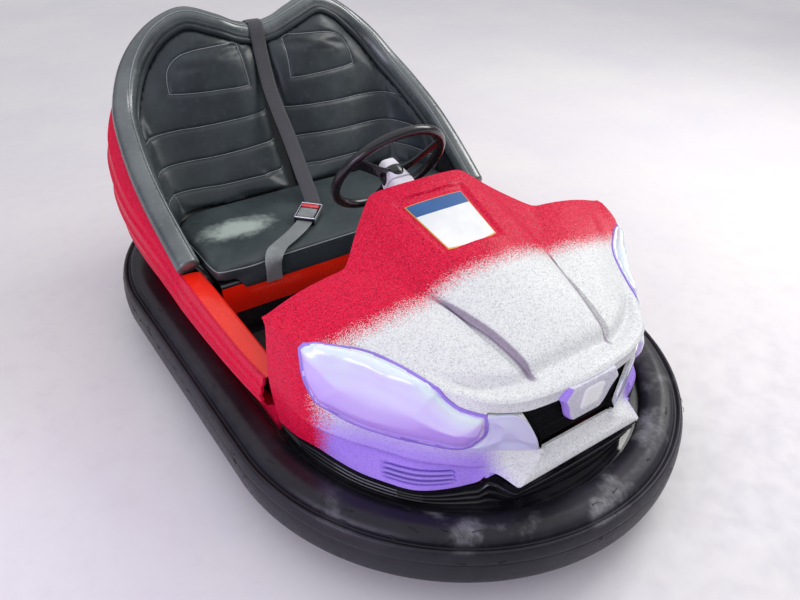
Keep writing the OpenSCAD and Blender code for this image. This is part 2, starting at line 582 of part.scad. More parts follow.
module accelerator_pedal() {
    color("#2c2d31") translate([-150, -205, floor_top + mat_t]) rotate([90, 0, 90]) linear_extrude(70)
        polygon([[0, 0], [60, 0], [60, 6], [14, 10], [-46, 96], [-52, 92], [-6, 6], [-6, 0]]);
}

battery_w = 350;
battery_l = 300;
module battery_pack() {
    color("#26282c") translate([-battery_w / 2, cushion_front_y + 30, floor_top])
        cube([battery_w, battery_l, seat_z - seat_base_t - seat_gap - floor_top]);
}

// Seat belts: straps that lie on the pads, through hand-picked points, and the buckle that joins them
belt_w = 46;
belt_t = 3;
module strap(points, ways) {
    outer = [for (k = [0 : 1]) [for (i = [0 : len(points) - 1]) points[i] + (k - 0.5) * belt_w * ways[i]]];
    sheet(grid_offset(outer, belt_t), outer);
}

// Points: where each strap's middle line lies, the lower ones measured from the cushion's front edge
cushion_top = seat_z + cushion_t;
buckle_at = [-135, cushion_front_y + 98, cushion_top + seat_gap];
buckle_turn = -41;
shoulder_line = [[0, fit_y(718), 806], [0, fit_y(692), 812], [-6, fit_y(660), 800], [-30, fit_y(560), 710],
    [-60, fit_y(430), 602], [-90, fit_y(300), 494], [-105, buckle_at[1] + 45, cushion_top + 49],
    [-110, buckle_at[1] + 29, cushion_top + 7]];
lap_line = [[-157, cushion_front_y + 73, cushion_top + 5], [-190, cushion_front_y + 36, cushion_top + 1],
    [-214, cushion_front_y + 10, cushion_top + 2], [-222, cushion_front_y - 4, cushion_top],
    [-223, cushion_front_y - 5, cushion_top - 20], [-223, cushion_front_y - 5, seat_z + 2]];
module shoulder_belt() {
    last = len(shoulder_line) - 1;
    color("#3c3d40") strap(shoulder_line, [for (k = [0 : last]) unit(lerp([1, 0, 0], [0.75, -0.66, 0], pow(k / last, 3)))]);
}
module lap_belt() {
    ways = [[0.75, -0.66, 0], [0.8, -0.6, 0], [0.92, -0.38, 0], [1, 0, 0], [1, 0, 0], [1, 0, 0]];
    color("#3c3d40") strap(lap_line, [for (w = ways) unit(w)]);
}
module belt_buckle() {
    color("#8a8c92") translate(buckle_at) rotate([0, 0, buckle_turn]) translate([-24, -32, 0]) cube([48, 64, 14]);
}

// Charging socket in the middle of the tub's back
module charge_socket() {
    mid = floor(len(tub_columns) / 2);
    low = tub_outer[4][mid];
    high = tub_outer[3][mid];
    way = unit(high - low);
    color("#2a2a2e") translate(lerp(low, high, 0.5)) rotate([-acos(-way[1]), 0, 0]) translate([0, 0, 1]) difference() {
        cylinder(h = 20, r = 26);
        translate([0, 0, 4]) cylinder(h = 17, r = 14);
    }
}

bumper_tyre();
rim_band();
frame_rails();
cross_members();
floor_pan();
rear_axle();
drive_bridge();
steering_box();
steering_tube();
steering_shaft();
steering_wheel();
drive_fork();
drive_motor();
drive_hub();
drive_tyre();
rear_hub_left();
rear_tyre_left();
rear_hub_right();
rear_tyre_right();
tub();
cockpit_liner();
seat_base();
seat_shell();
seat_cushion();
backrest_left();
backrest_right();
bolster();
cowl();
skirt();
dash_panel();
headlight_left();
headlight_right();
fog_lamp_left();
fog_lamp_right();
grille_panel();
badge();
number_plate();
floor_mat();
accelerator_pedal();
battery_pack();
shoulder_belt();
lap_belt();
belt_buckle();
charge_socket();
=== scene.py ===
# Looks of the two-seat battery bumper car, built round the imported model
# In metres, front along -Y, driver's left +X
import math

import bpy
import numpy as np
from mathutils import Matrix, Vector
from mathutils.bvhtree import BVHTree


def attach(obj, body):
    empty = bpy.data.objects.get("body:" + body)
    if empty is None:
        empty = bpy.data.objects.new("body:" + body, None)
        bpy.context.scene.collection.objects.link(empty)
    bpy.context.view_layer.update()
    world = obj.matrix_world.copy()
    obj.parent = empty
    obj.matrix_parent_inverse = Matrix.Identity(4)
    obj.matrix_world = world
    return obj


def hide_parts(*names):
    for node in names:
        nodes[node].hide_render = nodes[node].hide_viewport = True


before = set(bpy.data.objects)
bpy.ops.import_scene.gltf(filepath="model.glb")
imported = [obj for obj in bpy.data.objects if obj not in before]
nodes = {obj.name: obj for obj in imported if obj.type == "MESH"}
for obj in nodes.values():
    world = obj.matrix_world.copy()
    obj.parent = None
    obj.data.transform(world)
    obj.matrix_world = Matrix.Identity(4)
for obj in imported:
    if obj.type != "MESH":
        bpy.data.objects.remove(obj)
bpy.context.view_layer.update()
scene = bpy.context.scene
rng = np.random.default_rng(11)

# Camera, from the photograph's viewing angle
CAMERA_AT = (-0.975, -1.484, 1.391)
CAMERA_AZIMUTH = -35.908
CAMERA_ELEVATION = 34.655
CAMERA_ROLL = 1.903
CAMERA_LENS = 32.6795


def make_camera():
    a, e, r = (math.radians(x) for x in (CAMERA_AZIMUTH, CAMERA_ELEVATION, CAMERA_ROLL))
    forward = Vector((-math.sin(a) * math.cos(e), math.cos(a) * math.cos(e), -math.sin(e)))
    level = Vector((math.cos(a), math.sin(a), 0))
    upright = level.cross(forward)
    right = math.cos(r) * level + math.sin(r) * upright
    up = math.cos(r) * upright - math.sin(r) * level
    data = bpy.data.cameras.new("camera")
    data.lens = CAMERA_LENS
    data.sensor_width = 36
    camera = bpy.data.objects.new("camera", data)
    turn = Matrix((right, up, -forward)).transposed().to_4x4()
    camera.matrix_world = Matrix.Translation(CAMERA_AT) @ turn
    scene.collection.objects.link(camera)
    scene.camera = camera


make_camera()


# Node materials
class Look:
    """A procedural material, put together from nodes round one Principled shader."""

    def __init__(self, name, base, rough, spec=0.5, metal=0.0, coat=0.0, coat_rough=0.06, **more):
        self.material = bpy.data.materials.new(name)
        self.material.use_nodes = True
        self.tree = self.material.node_tree
        self.shader = self.tree.nodes["Principled BSDF"]
        values = {"Base Color": (*base, 1), "Roughness": rough, "Specular IOR Level": spec, "Metallic": metal,
                  "Coat Weight": coat, "Coat Roughness": coat_rough, **more}
        for key, value in values.items():
            self.shader.inputs[key].default_value = value
        self.place = self.node("ShaderNodeTexCoord").outputs["Object"]
        axes = self.node("ShaderNodeSeparateXYZ", {0: self.place}).outputs
        self.x, self.y, self.z = axes

    def split(self, color):
        return self.node("ShaderNodeSeparateColor", {0: color}).outputs

    def node(self, kind, values=None, **props):
        made = self.tree.nodes.new(kind)
        for key, value in props.items():
            setattr(made, key, value)
        for key, value in (values or {}).items():
            self.set(made.inputs[key], value)
        return made

    def set(self, socket, value):
        if isinstance(value, bpy.types.NodeSocket):
            self.tree.links.new(value, socket)
        else:
            socket.default_value = value

    def math(self, operation, *values):
        return self.node("ShaderNodeMath", dict(enumerate(values)), operation=operation).outputs[0]

    def add(self, a, b):
        return self.math("ADD", a, b)

    def sub(self, a, b):
        return self.math("SUBTRACT", a, b)

    def mul(self, a, b):
        return self.math("MULTIPLY", a, b)

    def abs(self, a):
        return self.math("ABSOLUTE", a)

    def both(self, a, b, share=0.5):
        """The two blended, with the given share of the first."""
        return self.add(self.mul(a, share), self.mul(b, 1 - share))

    def vector(self, operation, *values):
        return self.node("ShaderNodeVectorMath", dict(enumerate(values)), operation=operation).outputs[0]

    def facing(self):
        """The three parts of the surface's outward direction."""
        way = self.node("ShaderNodeNewGeometry").outputs["Normal"]
        return self.node("ShaderNodeSeparateXYZ", {0: way}).outputs

    def drift(self, share, *noise):
        """Noise round zero, share wide."""
        return self.mul(self.sub(self.noise(*noise), 0.5), share)

    def noise(self, scale, detail=3.0, rough=0.55, place=None):
        values = {"Vector": place or self.place, "Scale": scale, "Detail": detail, "Roughness": rough}
        return self.node("ShaderNodeTexNoise", values).outputs["Fac"]

    def cells(self, scale):
        return self.node("ShaderNodeTexVoronoi", {"Vector": self.place, "Scale": scale}).outputs

    def stretched(self, x, y, z):
        return self.node("ShaderNodeMapping", {"Vector": self.place, "Scale": (x, y, z)}).outputs[0]

    def range(self, value, low, high, to_low=0.0, to_high=1.0):
        values = {0: value, 1: low, 2: high, 3: to_low, 4: to_high}
        return self.node("ShaderNodeMapRange", values, interpolation_type="SMOOTHSTEP").outputs[0]

    def mix(self, share, a, b):
        a, b = ((*c, 1) if isinstance(c, tuple) else c for c in (a, b))
        made = self.node("ShaderNodeMix", data_type="RGBA")
        for key, value in ((0, share), (6, a), (7, b)):
            self.set(made.inputs[key], value)
        return made.outputs[2]

    def bump(self, height, strength, distance, after=None):
        values = {"Height": height, "Strength": strength, "Distance": distance}
        if after is not None:
            values["Normal"] = after
        return self.node("ShaderNodeBump", values).outputs[0]

    def use(self, **sockets):
        names = {"color": "Base Color", "rough": "Roughness", "normal": "Normal"}
        for key, value in sockets.items():
            self.set(self.shader.inputs[names[key]], value)
        return self.material


LEATHER_GRAIN = 900.0
DUST = (0.42, 0.41, 0.43)


def leather(name, base, pale, rough, spec=0.4, worn=None):
    look = Look(name, base, rough, spec)
    wide, fine = look.noise(5.0, 4.0), look.noise(60.0, 5.0, 0.6)
    color = look.mix(look.range(wide, 0.35, 0.7), base, pale)
    paler = tuple(min(1, 1.8 * c + 0.01) for c in pale)
    color = look.mix(look.range(fine, 0.5, 0.8, 0, 0.25), color, paler)
    if worn:
        at, radii, tint = worn
        away = look.vector("MULTIPLY", look.vector("SUBTRACT", look.place, at), tuple(1 / r for r in radii))
        away = look.node("ShaderNodeVectorMath", {0: away}, operation="LENGTH").outputs["Value"]
        share = look.range(look.add(away, look.drift(1.3, 28.0, 5.0, 0.7)), 0.35, 1.25, 0.8, 0.0)
        color = look.mix(share, color, tint)
    rough_map = look.range(look.both(wide, fine), 0.3, 0.7, rough - 0.07, rough + 0.12)
    normal = look.bump(look.cells(LEATHER_GRAIN)["Distance"], 0.16, 0.0006)
    normal = look.bump(look.noise(35.0, 3.0), 0.12, 0.004, normal)
    return look.use(color=color, rough=rough_map, normal=normal)


def moulded(name, base, rough, coat=0.0, dust=0.0, bump=0.08, pale=None, spec=0.4):
    look = Look(name, base, rough, spec, 0.0, coat)
    wide, fine = look.noise(6.0, 4.0), look.noise(140.0, 4.0, 0.6)
    pale = pale or tuple(min(1, 1.35 * c + 0.004) for c in base)
    color = look.mix(look.range(wide, 0.35, 0.7), base, pale)
    if dust:
        color = look.mix(look.range(look.noise(18.0, 6.0, 0.7), 0.48, 0.78, 0, dust), color, DUST)
    rough_map = look.range(look.both(wide, fine, 0.6), 0.3, 0.72, max(0.03, rough - 0.06), rough + 0.1)
    normal = look.bump(wide, bump, 0.006, look.bump(fine, bump, 0.0006))
    return look.use(color=color, rough=rough_map, normal=normal)


def metal(name, base, rough, brushed=(1, 1, 1)):
    look = Look(name, base, rough, metal=1.0)
    lines = look.noise(160.0, 4.0, 0.6, look.stretched(*brushed))
    spots = look.noise(14.0, 5.0, 0.65)
    color = look.mix(look.range(spots, 0.5, 0.75, 0, 0.55), base, tuple(0.45 * c for c in base))
    rough_map = look.range(lines, 0.3, 0.7, rough - 0.08, rough + 0.12)
    return look.use(color=color, rough=rough_map, normal=look.bump(lines, 0.15, 0.0004))


# Glitter paint: flakes each with their own brightness and lean, red behind and silver in front
RED = (0.76, 0.004, 0.050)
RED_DARK = (0.32, 0.001, 0.018)
RED_PALE = (0.95, 0.10, 0.20)
SILVER = (0.78, 0.79, 0.79)
SILVER_DARK = (0.36, 0.36, 0.40)
# Silver under violet light: painted violet light and shade on the cowl's lower sides, the fog pockets and the
# shield's left side
SILVER_IN_VIOLET_LIGHT = (0.28, 0.085, 0.84)
SILVER_PALE = (0.98, 0.99, 1.0)
# Painted shade along each groove down the hood: its colour, and the curve that it follows
GROOVE_SHADE = (0.17, 0.10, 0.20)
GROOVE_FRONT_Y = -0.705
GROOVE_HALF = 0.116
GROOVE_SLOPE = 0.165
GROOVE_CURVE = 0.42
PAINT_LINE_Y = -0.490
PAINT_LINE_SPREAD = 0.034


def glitter(name, kind, flake=430.0):
    look = Look(name, RED, 0.42, 0.08, 0.0, 0.14, 0.22)
    cells = look.cells(flake)
    one, tiny = look.split(cells["Color"]), look.split(look.cells(2.3 * flake)["Color"])
    color = red = silver = None
    if kind in ("red", "both"):
        red = look.mix(look.range(one[0], 0.0, 0.5, 0.75, 0.0), RED, RED_DARK)
        color = red = look.mix(look.range(tiny[1], 0.86, 1.0, 0.0, 0.8), red, RED_PALE)
    if kind != "red":
        silver = look.mix(look.range(one[0], 0.0, 0.45, 0.55, 0.0), SILVER, SILVER_DARK)
        color = silver = look.mix(look.range(tiny[1], 0.6, 1.0, 0.0, 0.9), silver, SILVER_PALE)
    if kind == "both":
        share = look.range(look.add(look.y, look.drift(0.03, 9.0, 3.0)),
                           PAINT_LINE_Y - PAINT_LINE_SPREAD, PAINT_LINE_Y + PAINT_LINE_SPREAD)
        off_middle = look.abs(look.x)
        # Painted violet light on the silver, low on the cowl's sides away from the middle
        violet = look.mul(look.range(look.z, 0.37, 0.26, 0.0, 0.86), look.range(off_middle, 0.17, 0.23))
        silver = look.mix(violet, silver, look.mix(0.9, silver, SILVER_IN_VIOLET_LIGHT))
        # Painted shade: a dark band along each groove down the hood
        ahead = look.add(look.y, -GROOVE_FRONT_Y)
        line = look.mul(ahead, look.add(look.mul(ahead, GROOVE_CURVE), GROOVE_SLOPE))
        off = look.abs(look.sub(off_middle, look.add(line, GROOVE_HALF)))
        band = look.mul(look.range(off, 0.003, 0.009, 0.72, 0.0), look.range(look.y, -0.43, -0.53))
        band = look.mul(band, look.range(look.y, -0.765, -0.745))
        silver = look.mix(band, silver, GROOVE_SHADE)
        color = look.mix(look.math("LESS_THAN", tiny[2], share), silver, red)
    elif kind == "low":
        # Painted violet shade over all of the silver
        color = look.mix(0.7, silver, SILVER_IN_VIOLET_LIGHT)
    elif kind == "shade":
        # Painted violet shade on the faces turned towards -X
        color = look.mix(look.range(look.facing()[0], -0.65, -0.25, 0.75, 0.12), silver, SILVER_IN_VIOLET_LIGHT)
    lean = look.vector("MULTIPLY", look.vector("SUBTRACT", cells["Color"], (0.5, 0.5, 0.5)), (0.4, 0.4, 0.4))
    plain = look.node("ShaderNodeNewGeometry").outputs["Normal"]
    normal = look.vector("NORMALIZE", look.vector("ADD", plain, lean))
    rough = look.range(one[1], 0.0, 1.0, 0.28, 0.55)
    look.set(look.shader.inputs["Coat Normal"], look.bump(look.noise(40.0, 2.0), 0.05, 0.003))
    return look.use(color=color, normal=normal, rough=rough)


def rubber(name, base, rough, dusty=False):
    look = Look(name, base, rough, 0.32)
    wide, fine = look.noise(4.0, 5.0, 0.6), look.noise(90.0, 5.0, 0.65)
    color = look.mix(look.range(wide, 0.35, 0.7), base, tuple(2.2 * c + 0.008 for c in base))
    if dusty:
        lines = look.noise(240.0, 3.0, 0.5, look.stretched(1, 0.12, 1))
        patch = look.range(look.noise(7.0, 4.0, 0.6), 0.5, 0.68)
        share = look.mul(look.mul(look.range(look.y, -0.45, -0.86), patch),
                         look.mul(look.range(look.z, 0.165, 0.185), lines))
        color = look.mix(share, color, (0.36, 0.36, 0.38))
    rough_map = look.range(look.both(wide, fine), 0.3, 0.7, rough - 0.1, rough + 0.14)
    normal = look.bump(look.noise(12.0, 3.0), 0.1, 0.006, look.bump(fine, 0.14, 0.0008))
    return look.use(color=color, rough=rough_map, normal=normal)


def webbing(name, base, pale):
    look = Look(name, base, 0.62, **{"Sheen Weight": 0.25, "Sheen Roughness": 0.4})
    weave, wide = look.cells(850.0)["Distance"], look.noise(20.0, 4.0)
    color = look.mix(look.range(weave, 0.0, 0.8), base, pale)
    color = look.mix(look.range(wide, 0.45, 0.75, 0, 0.5), color, tuple(1.5 * c for c in pale))
    rough = look.range(wide, 0.3, 0.7, 0.55, 0.75)
    return look.use(color=color, normal=look.bump(weave, 0.5, 0.0006), rough=rough)


def cover(name, low, high):
    below = {"Subsurface Weight": 0.35, "Subsurface Scale": 0.02}
    look = Look(name, high, 0.16, 0.6, 0.0, 1.0, 0.03, **below)
    # Painted light: the high colour where the cover faces up, the low colour, lavender, where it faces
    # sideways and down
    height = look.add(look.facing()[2], look.drift(0.15, 6.0, 2.0))
    color = look.mix(look.range(height, -0.15, 0.62), low, high)
    rough = look.range(look.noise(50.0, 3.0), 0.3, 0.7, 0.1, 0.22)
    return look.use(color=color, normal=look.bump(look.noise(25.0, 2.0), 0.04, 0.004), rough=rough)


# Middle, half sizes and tint of the worn patch on the cushion
WORN_PATCH = ((-0.300, 0.240, 0.373), (0.105, 0.055, 0.2), (0.48, 0.56, 0.51))
LOOK_TABLE = {
    "bumper_rubber": (rubber, (0.009, 0.008, 0.013), 0.40, True),
    "frame_black": (moulded, (0.014, 0.014, 0.016), 0.4, 0.2, 0.12),
    "deck_black": (moulded, (0.008, 0.008, 0.012), 0.16, 0.6, 0.05),
    "bare_steel": (metal, (0.58, 0.58, 0.60), 0.32),
    "hub_metal": (metal, (0.62, 0.63, 0.65), 0.3, (1, 0.2, 0.2)),
    "wheel_rubber": (rubber, (0.016, 0.016, 0.017), 0.58),
    "motor_paint": (moulded, (0.21, 0.045, 0.012), 0.4, 0.2, 0.2),
    "wheel_black": (moulded, (0.010, 0.010, 0.013), 0.24, 0.3, 0.0, 0.1),
    "column_grey": (moulded, (0.72, 0.69, 0.80), 0.35, 0.2, 0.0, 0.05),
    "tub_red": (glitter, "red", 520.0),
    "liner_red": (moulded, (0.90, 0.016, 0.004), 0.25, 0.4, 0.0, 0.05, (0.97, 0.030, 0.009), 0.3),
    "shell_black": (leather, (0.010, 0.011, 0.013), (0.018, 0.021, 0.024), 0.42),
    "seat_vinyl": (leather, (0.022, 0.030, 0.035), (0.042, 0.055, 0.062), 0.36),
    "cushion_vinyl": (leather, (0.030, 0.042, 0.046), (0.050, 0.066, 0.070), 0.42, 0.4, WORN_PATCH),
    # The roll's vinyl, paler than the backrest's: painted highlight of the light from above
    "roll_vinyl": (leather, (0.050, 0.066, 0.070), (0.110, 0.132, 0.134), 0.22, 1.2),
    "cowl_glitter": (glitter, "both"),
    "skirt_black": (moulded, (0.004, 0.004, 0.007), 0.2, 0.35, 0.03, 0.04, None, 0.3),
    "dash_black": (moulded, (0.012, 0.012, 0.014), 0.42, 0.1, 0.1),
    # Lamp cover: lavender-white, with painted light from above by facing
    "lamp_cover": (cover, (0.58, 0.36, 0.95), (0.95, 0.95, 0.99)),
    # Fog pockets: silver with painted violet shade
    "fog_lens": (glitter, "low", 520.0),
    # Shield: silver with painted violet shade on its left side
    "shield_glitter": (glitter, "shade"),
    "grille_black": (moulded, (0.002, 0.002, 0.003), 0.8, 0.0, 0.0, 0.08, None, 0.1),
    # Violet of the lamp's border: painted violet light
    "flange_violet_light": (moulded, (0.26, 0.16, 0.66), 0.22, 0.5, 0.0, 0.04, (0.34, 0.22, 0.76)),
    # Tusk cover, with the same painted light from above by facing
    "tusk_cover": (cover, (0.66, 0.60, 0.88), (0.82, 0.84, 0.92)),
    "badge_white": (moulded, (0.93, 0.93, 0.94), 0.25, 0.6, 0.0, 0.03),
    "plate_print": (moulded, (0.80, 0.83, 0.84), 0.4, 0.1, 0.0, 0.03),
    "plate_blue": (moulded, (0.018, 0.100, 0.300), 0.4, 0.1, 0.0, 0.03),
    "plate_gold": (moulded, (0.66, 0.36, 0.05), 0.4, 0.1, 0.0, 0.03),
    "mat_rubber": (rubber, (0.012, 0.012, 0.013), 0.55),
    "pedal_metal": (metal, (0.30, 0.30, 0.32), 0.38),
    "battery_case": (moulded, (0.020, 0.021, 0.024), 0.45, 0.0, 0.25),
    "belt_web": (webbing, (0.020, 0.020, 0.025), (0.055, 0.055, 0.066)),
    "belt_pale": (webbing, (0.10, 0.115, 0.115), (0.24, 0.26, 0.26)),
    "buckle_metal": (metal, (0.62, 0.63, 0.66), 0.22),
    "buckle_black": (moulded, (0.006, 0.006, 0.008), 0.42, 0.0, 0.0, 0.08, None, 0.15),
    "buckle_red": (moulded, (0.62, 0.05, 0.06), 0.3, 0.4),
    "socket_black": (moulded, (0.016, 0.016, 0.018), 0.35, 0.2),
    # Pale welt colour: painted highlight where the seam edges catch the light
    "seam_highlight": (moulded, (0.26, 0.29, 0.30), 0.3, 0.2),
}
LOOKS = {name: maker(name, *values) for name, (maker, *values) in LOOK_TABLE.items()}


# Mesh helpers
def unit(v):
    return v / np.maximum(np.linalg.norm(v, axis=-1, keepdims=True), 1e-12)


def xyz(*values):
    """Places from their x, y and z, each one number or an array."""
    return np.stack(np.broadcast_arrays(*values), -1)


def hump(x, width):
    """Bell curve, 1 where x is 0."""
    return np.exp(-(x / width) ** 2)


def smooth(t):
    t = np.clip(t, 0, 1)
    return t * t * (3 - 2 * t)


def curve(a, b, c, d, t):
    """Smooth curve from b to c, led by the places before and after them."""
    return b + t * ((c - a) / 2 + t * ((2 * a - 5 * b + 4 * c - d) / 2 + t * (3 * b - 3 * c + d - a) / 2))


def along(table, u):
    """Rows of a table at the real-valued places u, along a smooth curve through the rows."""
    table, u = np.asarray(table, float), np.asarray(u, float)
    last = len(table) - 1
    i = np.clip(np.floor(u).astype(int), 0, last - 1)
    t = (u - i).reshape((-1,) + (1,) * (table.ndim - 1))
    return curve(table[np.maximum(i - 1, 0)], table[i], table[i + 1], table[np.minimum(i + 2, last)], t)


def evenly(fine, run_on, count):
    """Rows of fine at even distances along the curve through run_on."""
    run = np.concatenate([[0], np.cumsum(np.linalg.norm(np.diff(run_on, axis=0), axis=1))])
    want = np.linspace(0, run[-1], count)
    return np.stack([np.interp(want, run, column) for column in fine.T], -1)


def spline(points, count):
    """Evenly spaced places on the smooth curve through a few points."""
    fine = along(points, np.linspace(0, len(points) - 1, 40 * len(points)))
    return evenly(fine, fine, count)


def piece(name, shape, look, body="car", stands_for=None, sharp=40, more_looks=(), look_of=None):
    points, faces = shape
    mesh = bpy.data.meshes.new(name)
    mesh.from_pydata(np.reshape(points, (-1, 3)).tolist(), [], [list(map(int, f)) for f in faces])
    mesh.validate()
    mesh.shade_smooth()
    if sharp < 180:
        mesh.set_sharp_from_angle(angle=math.radians(sharp))
    obj = bpy.data.objects.new(name, mesh)
    scene.collection.objects.link(obj)
    for key in (look, *more_looks):
        mesh.materials.append(LOOKS[key])
    if look_of is not None:
        mesh.polygons.foreach_set("material_index", np.asarray(look_of, np.int32))
    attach(obj, body)
    if stands_for:
        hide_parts(stands_for)
    return obj


def quads(a, b, c, d):
    return np.stack([a, b, c, d], -1)


def grid_quads(k):
    """Quads between the neighbours of a grid of indices."""
    return quads(k[:-1, :-1], k[1:, :-1], k[1:, 1:], k[:-1, 1:])


def both_ways(half):
    return np.concatenate([-half[:0:-1], half])


def turns(count):
    return np.linspace(0, 2 * np.pi, count, endpoint=False)


def sheet(outer, inner, keep=None):
    """Closed solid between an outer and an inner grid of points; cells where keep is false are holes."""
    rows, cols = outer.shape[:2]
    half = rows * cols
    index = np.arange(half).reshape(rows, cols)
    on = np.ones((rows - 1, cols - 1), bool) if keep is None else keep
    a, b, c, d = index[:-1, :-1], index[1:, :-1], index[1:, 1:], index[:-1, 1:]
    ringed = np.pad(on, 1)
    sides = ((~ringed[:-2, 1:-1], a, d), (~ringed[2:, 1:-1], c, b),
             (~ringed[1:-1, :-2], b, a), (~ringed[1:-1, 2:], d, c))
    faces = [quads(a, b, c, d)[on], quads(a, d, c, b)[on] + half]
    for open_side, p, q in sides:
        k = on & open_side
        faces.append(quads(p[k], q[k], q[k] + half, p[k] + half))
    points, faces = np.concatenate([outer.reshape(-1, 3), inner.reshape(-1, 3)]), np.concatenate(faces)
    used = np.unique(faces)
    place = np.full(len(points), -1)
    place[used] = np.arange(len(used))
    return points[used], place[faces]


def grid_normals(grid):
    down, right = np.gradient(grid, axis=0), np.gradient(grid, axis=1)
    return unit(np.cross(right, down))


def outward(grid, n):
    """Directions off a grid, on the side that n points to."""
    up = grid_normals(grid)
    return up if (up.reshape(-1, 3) * n).sum() > 0 else -up


def border(grid):
    return np.concatenate([grid[0], grid[-1], grid[:, 0], grid[:, -1]])


def nearest(points, ring):
    """Distance of each point from the closest one of a ring."""
    return np.sqrt(((points[:, None] - ring[None]) ** 2).sum(-1)).min(1)


def loops(rings, closed=False):
    """Solid through rings of points; closed joins the last ring to the first."""
    rings = np.asarray(rings, float)
    count, n = rings.shape[:2]
    index = np.arange(count * n).reshape(count, n)
    after = np.roll(index, -1, 0)[:count if closed else -1]
    faces = quads(index[:len(after)], after, np.roll(after, -1, 1), np.roll(index, -1, 1)[:len(after)])
    faces = faces.reshape(-1, 4).tolist()
    if not closed:
        faces += [list(index[0]), list(index[-1][::-1])]
    return rings.reshape(-1, 3), faces


def tube(path, radius, sides=8, closed=False):
    """Rings round a path, turned as little as possible from one to the next."""
    path = np.asarray(path, float)
    way = unit(np.roll(path, -1, 0) - np.roll(path, 1, 0)) if closed else unit(np.gradient(path, axis=0))
    across = np.cross(way[0], (0, 0, 1.0))
    if np.linalg.norm(across) < 1e-3:
        across = np.array([1.0, 0, 0])
    a = turns(sides)[:, None]
    rings = []
    for p, w, r in zip(path, way, np.broadcast_to(radius, len(path))):
        across = unit(across - w * (across @ w))
        rings.append(p + r * (np.cos(a) * across + np.sin(a) * np.cross(across, w)))
    return loops(rings, closed)


def joined(parts):
    """Several lists of points and faces as one."""
    points, faces, start = [], [], 0
    for p, f in parts:
        points.append(np.asarray(p, float).reshape(-1, 3))
        faces += [[int(i) + start for i in q] for q in f]
        start += len(points[-1])
    return np.concatenate(points), faces


def lathe(profile, count, matrix=None):
    """Closed profile of (radius, height) turned round Z, then placed."""
    r, z = np.asarray(profile, float).T
    return placed(loops([xyz(np.cos(a) * r, np.sin(a) * r, z) for a in turns(count)], closed=True), matrix)


def placed(shape, matrix):
    if matrix is None:
        return shape
    m = np.array(matrix)
    return np.asarray(shape[0]) @ m[:3, :3].T + m[:3, 3], shape[1]


def rounded_box(size, radius):
    """Box with rounded edges, centred on its middle, as points and faces."""
    half = np.asarray(size, float) / 2
    u, v = np.meshgrid(*[np.linspace(-1, 1, 10)] * 2, indexing="ij")
    k = np.arange(u.size).reshape(u.shape)
    points, faces = [], []
    for axis in range(3):
        for sign in (-1, 1):
            cube = np.empty(u.shape + (3,))
            cube[..., axis], cube[..., (axis + 1) % 3], cube[..., (axis + 2) % 3] = sign, u, v
            grid = cube * (half - radius) + radius * unit(np.sign(cube) * np.abs(cube) ** 3.0)
            faces.append(grid_quads(k)[..., ::sign].reshape(-1, 4) + u.size * len(points))
            points.append(grid.reshape(-1, 3))
    unique, back = np.unique(np.round(np.concatenate(points), 7), axis=0, return_inverse=True)
    return unique, back.reshape(-1)[np.concatenate(faces)].tolist()


def squircle(power, count):
    """Unit outline between a circle and a square."""
    a = turns(count)
    k = (np.abs(np.cos(a)) ** power + np.abs(np.sin(a)) ** power) ** (-1 / power)
    return k * np.cos(a), k * np.sin(a)


def squircle_post(profile, power, count):
    """Solid through squircles of the given heights and radii."""
    x, y = squircle(power, count)
    return loops([xyz(r * x, r * y, z) for z, r in profile])


def bevelled(obj, width):
    made = obj.modifiers.new("bevel", "BEVEL")
    made.width, made.segments, made.limit_method, made.angle_limit = width, 2, "ANGLE", math.radians(35)


SIDES = {"left": 1, "right": -1}
CORNER_POWER = 5

# Sizes that the part's source also has
BUMPER_R = 0.600
BUMPER_T = 0.110
BUMPER_CLEAR = 0.085
END_C = 0.360
FLOOR_TOP = 0.159
LIP_Z = 0.250
FOOT_GAP = 0.014
SKIN_T = 0.007
SEAT_Z = 0.331
CUSHION_T = 0.042
CUSHION_FRONT_Y = 0.082
SILL_IN = 0.452
ROLL_R = 0.032
SEAT_GAP = 0.0003


def ring_centre(p):
    return xyz(0, np.clip(p[..., 1], -END_C, END_C), 0)


def ring_out(p):
    d = p - ring_centre(p)
    d[..., 2] = 0
    return unit(d)


def ring_foot(p, gap, z):
    q = ring_centre(p) + (BUMPER_R - BUMPER_T - gap) * ring_out(p)
    q[..., 2] = z
    return q


def stadium(r, count):
    """Points round the ring at radius r with the outward direction at each, evenly spaced."""
    arc, straight = math.pi * r, 2 * END_C
    run = np.linspace(0, 2 * (arc + straight), count, endpoint=False)
    side = np.where(run < arc + straight, 1.0, -1.0)
    run = np.where(run < arc + straight, run, run - arc - straight)
    on_arc = run < arc
    angle = np.where(on_arc, run / r, math.pi)
    out = xyz(np.cos(angle), np.where(on_arc, np.sin(angle), 0), 0)
    points = r * out + xyz(0, np.where(on_arc, END_C, END_C - (run - arc)), 0)
    turned = xyz(side, side, 1)
    return points * turned, out * turned


# Bumper tyre: section as distance out from its inner wall and height above its underside
BUMPER_SECTION = [
    (0, 15), (0, 40), (0, 78), (2, 88), (8, 95), (22, 103), (38, 106), (52, 107), (64, 104.5), (74, 101),
    (80, 95), (83, 90.5), (85, 85), (87, 83.5), (90, 84.5), (93, 88), (97, 90), (101, 88), (104, 82),
    (106, 76), (108, 68), (108.2, 62), (107.2, 60), (108.4, 58), (109.6, 48), (110, 40), (109.4, 22),
    (107, 6), (102, 0), (80, 0), (40, 0), (12, 0), (3, 5)]
# Moulding hairs: their number, the places they may start from, and the two rings on the top: out and height
HAIR_COUNT = 96
HAIR_PLACES = 2000
HAIR_RINGS = {0.062: 0.1055, 0.084: 0.0905}
HAIR_SIDE_OUT = 0.108
HAIR_R = 0.0009
UP = np.array([0, 0, 1.0])


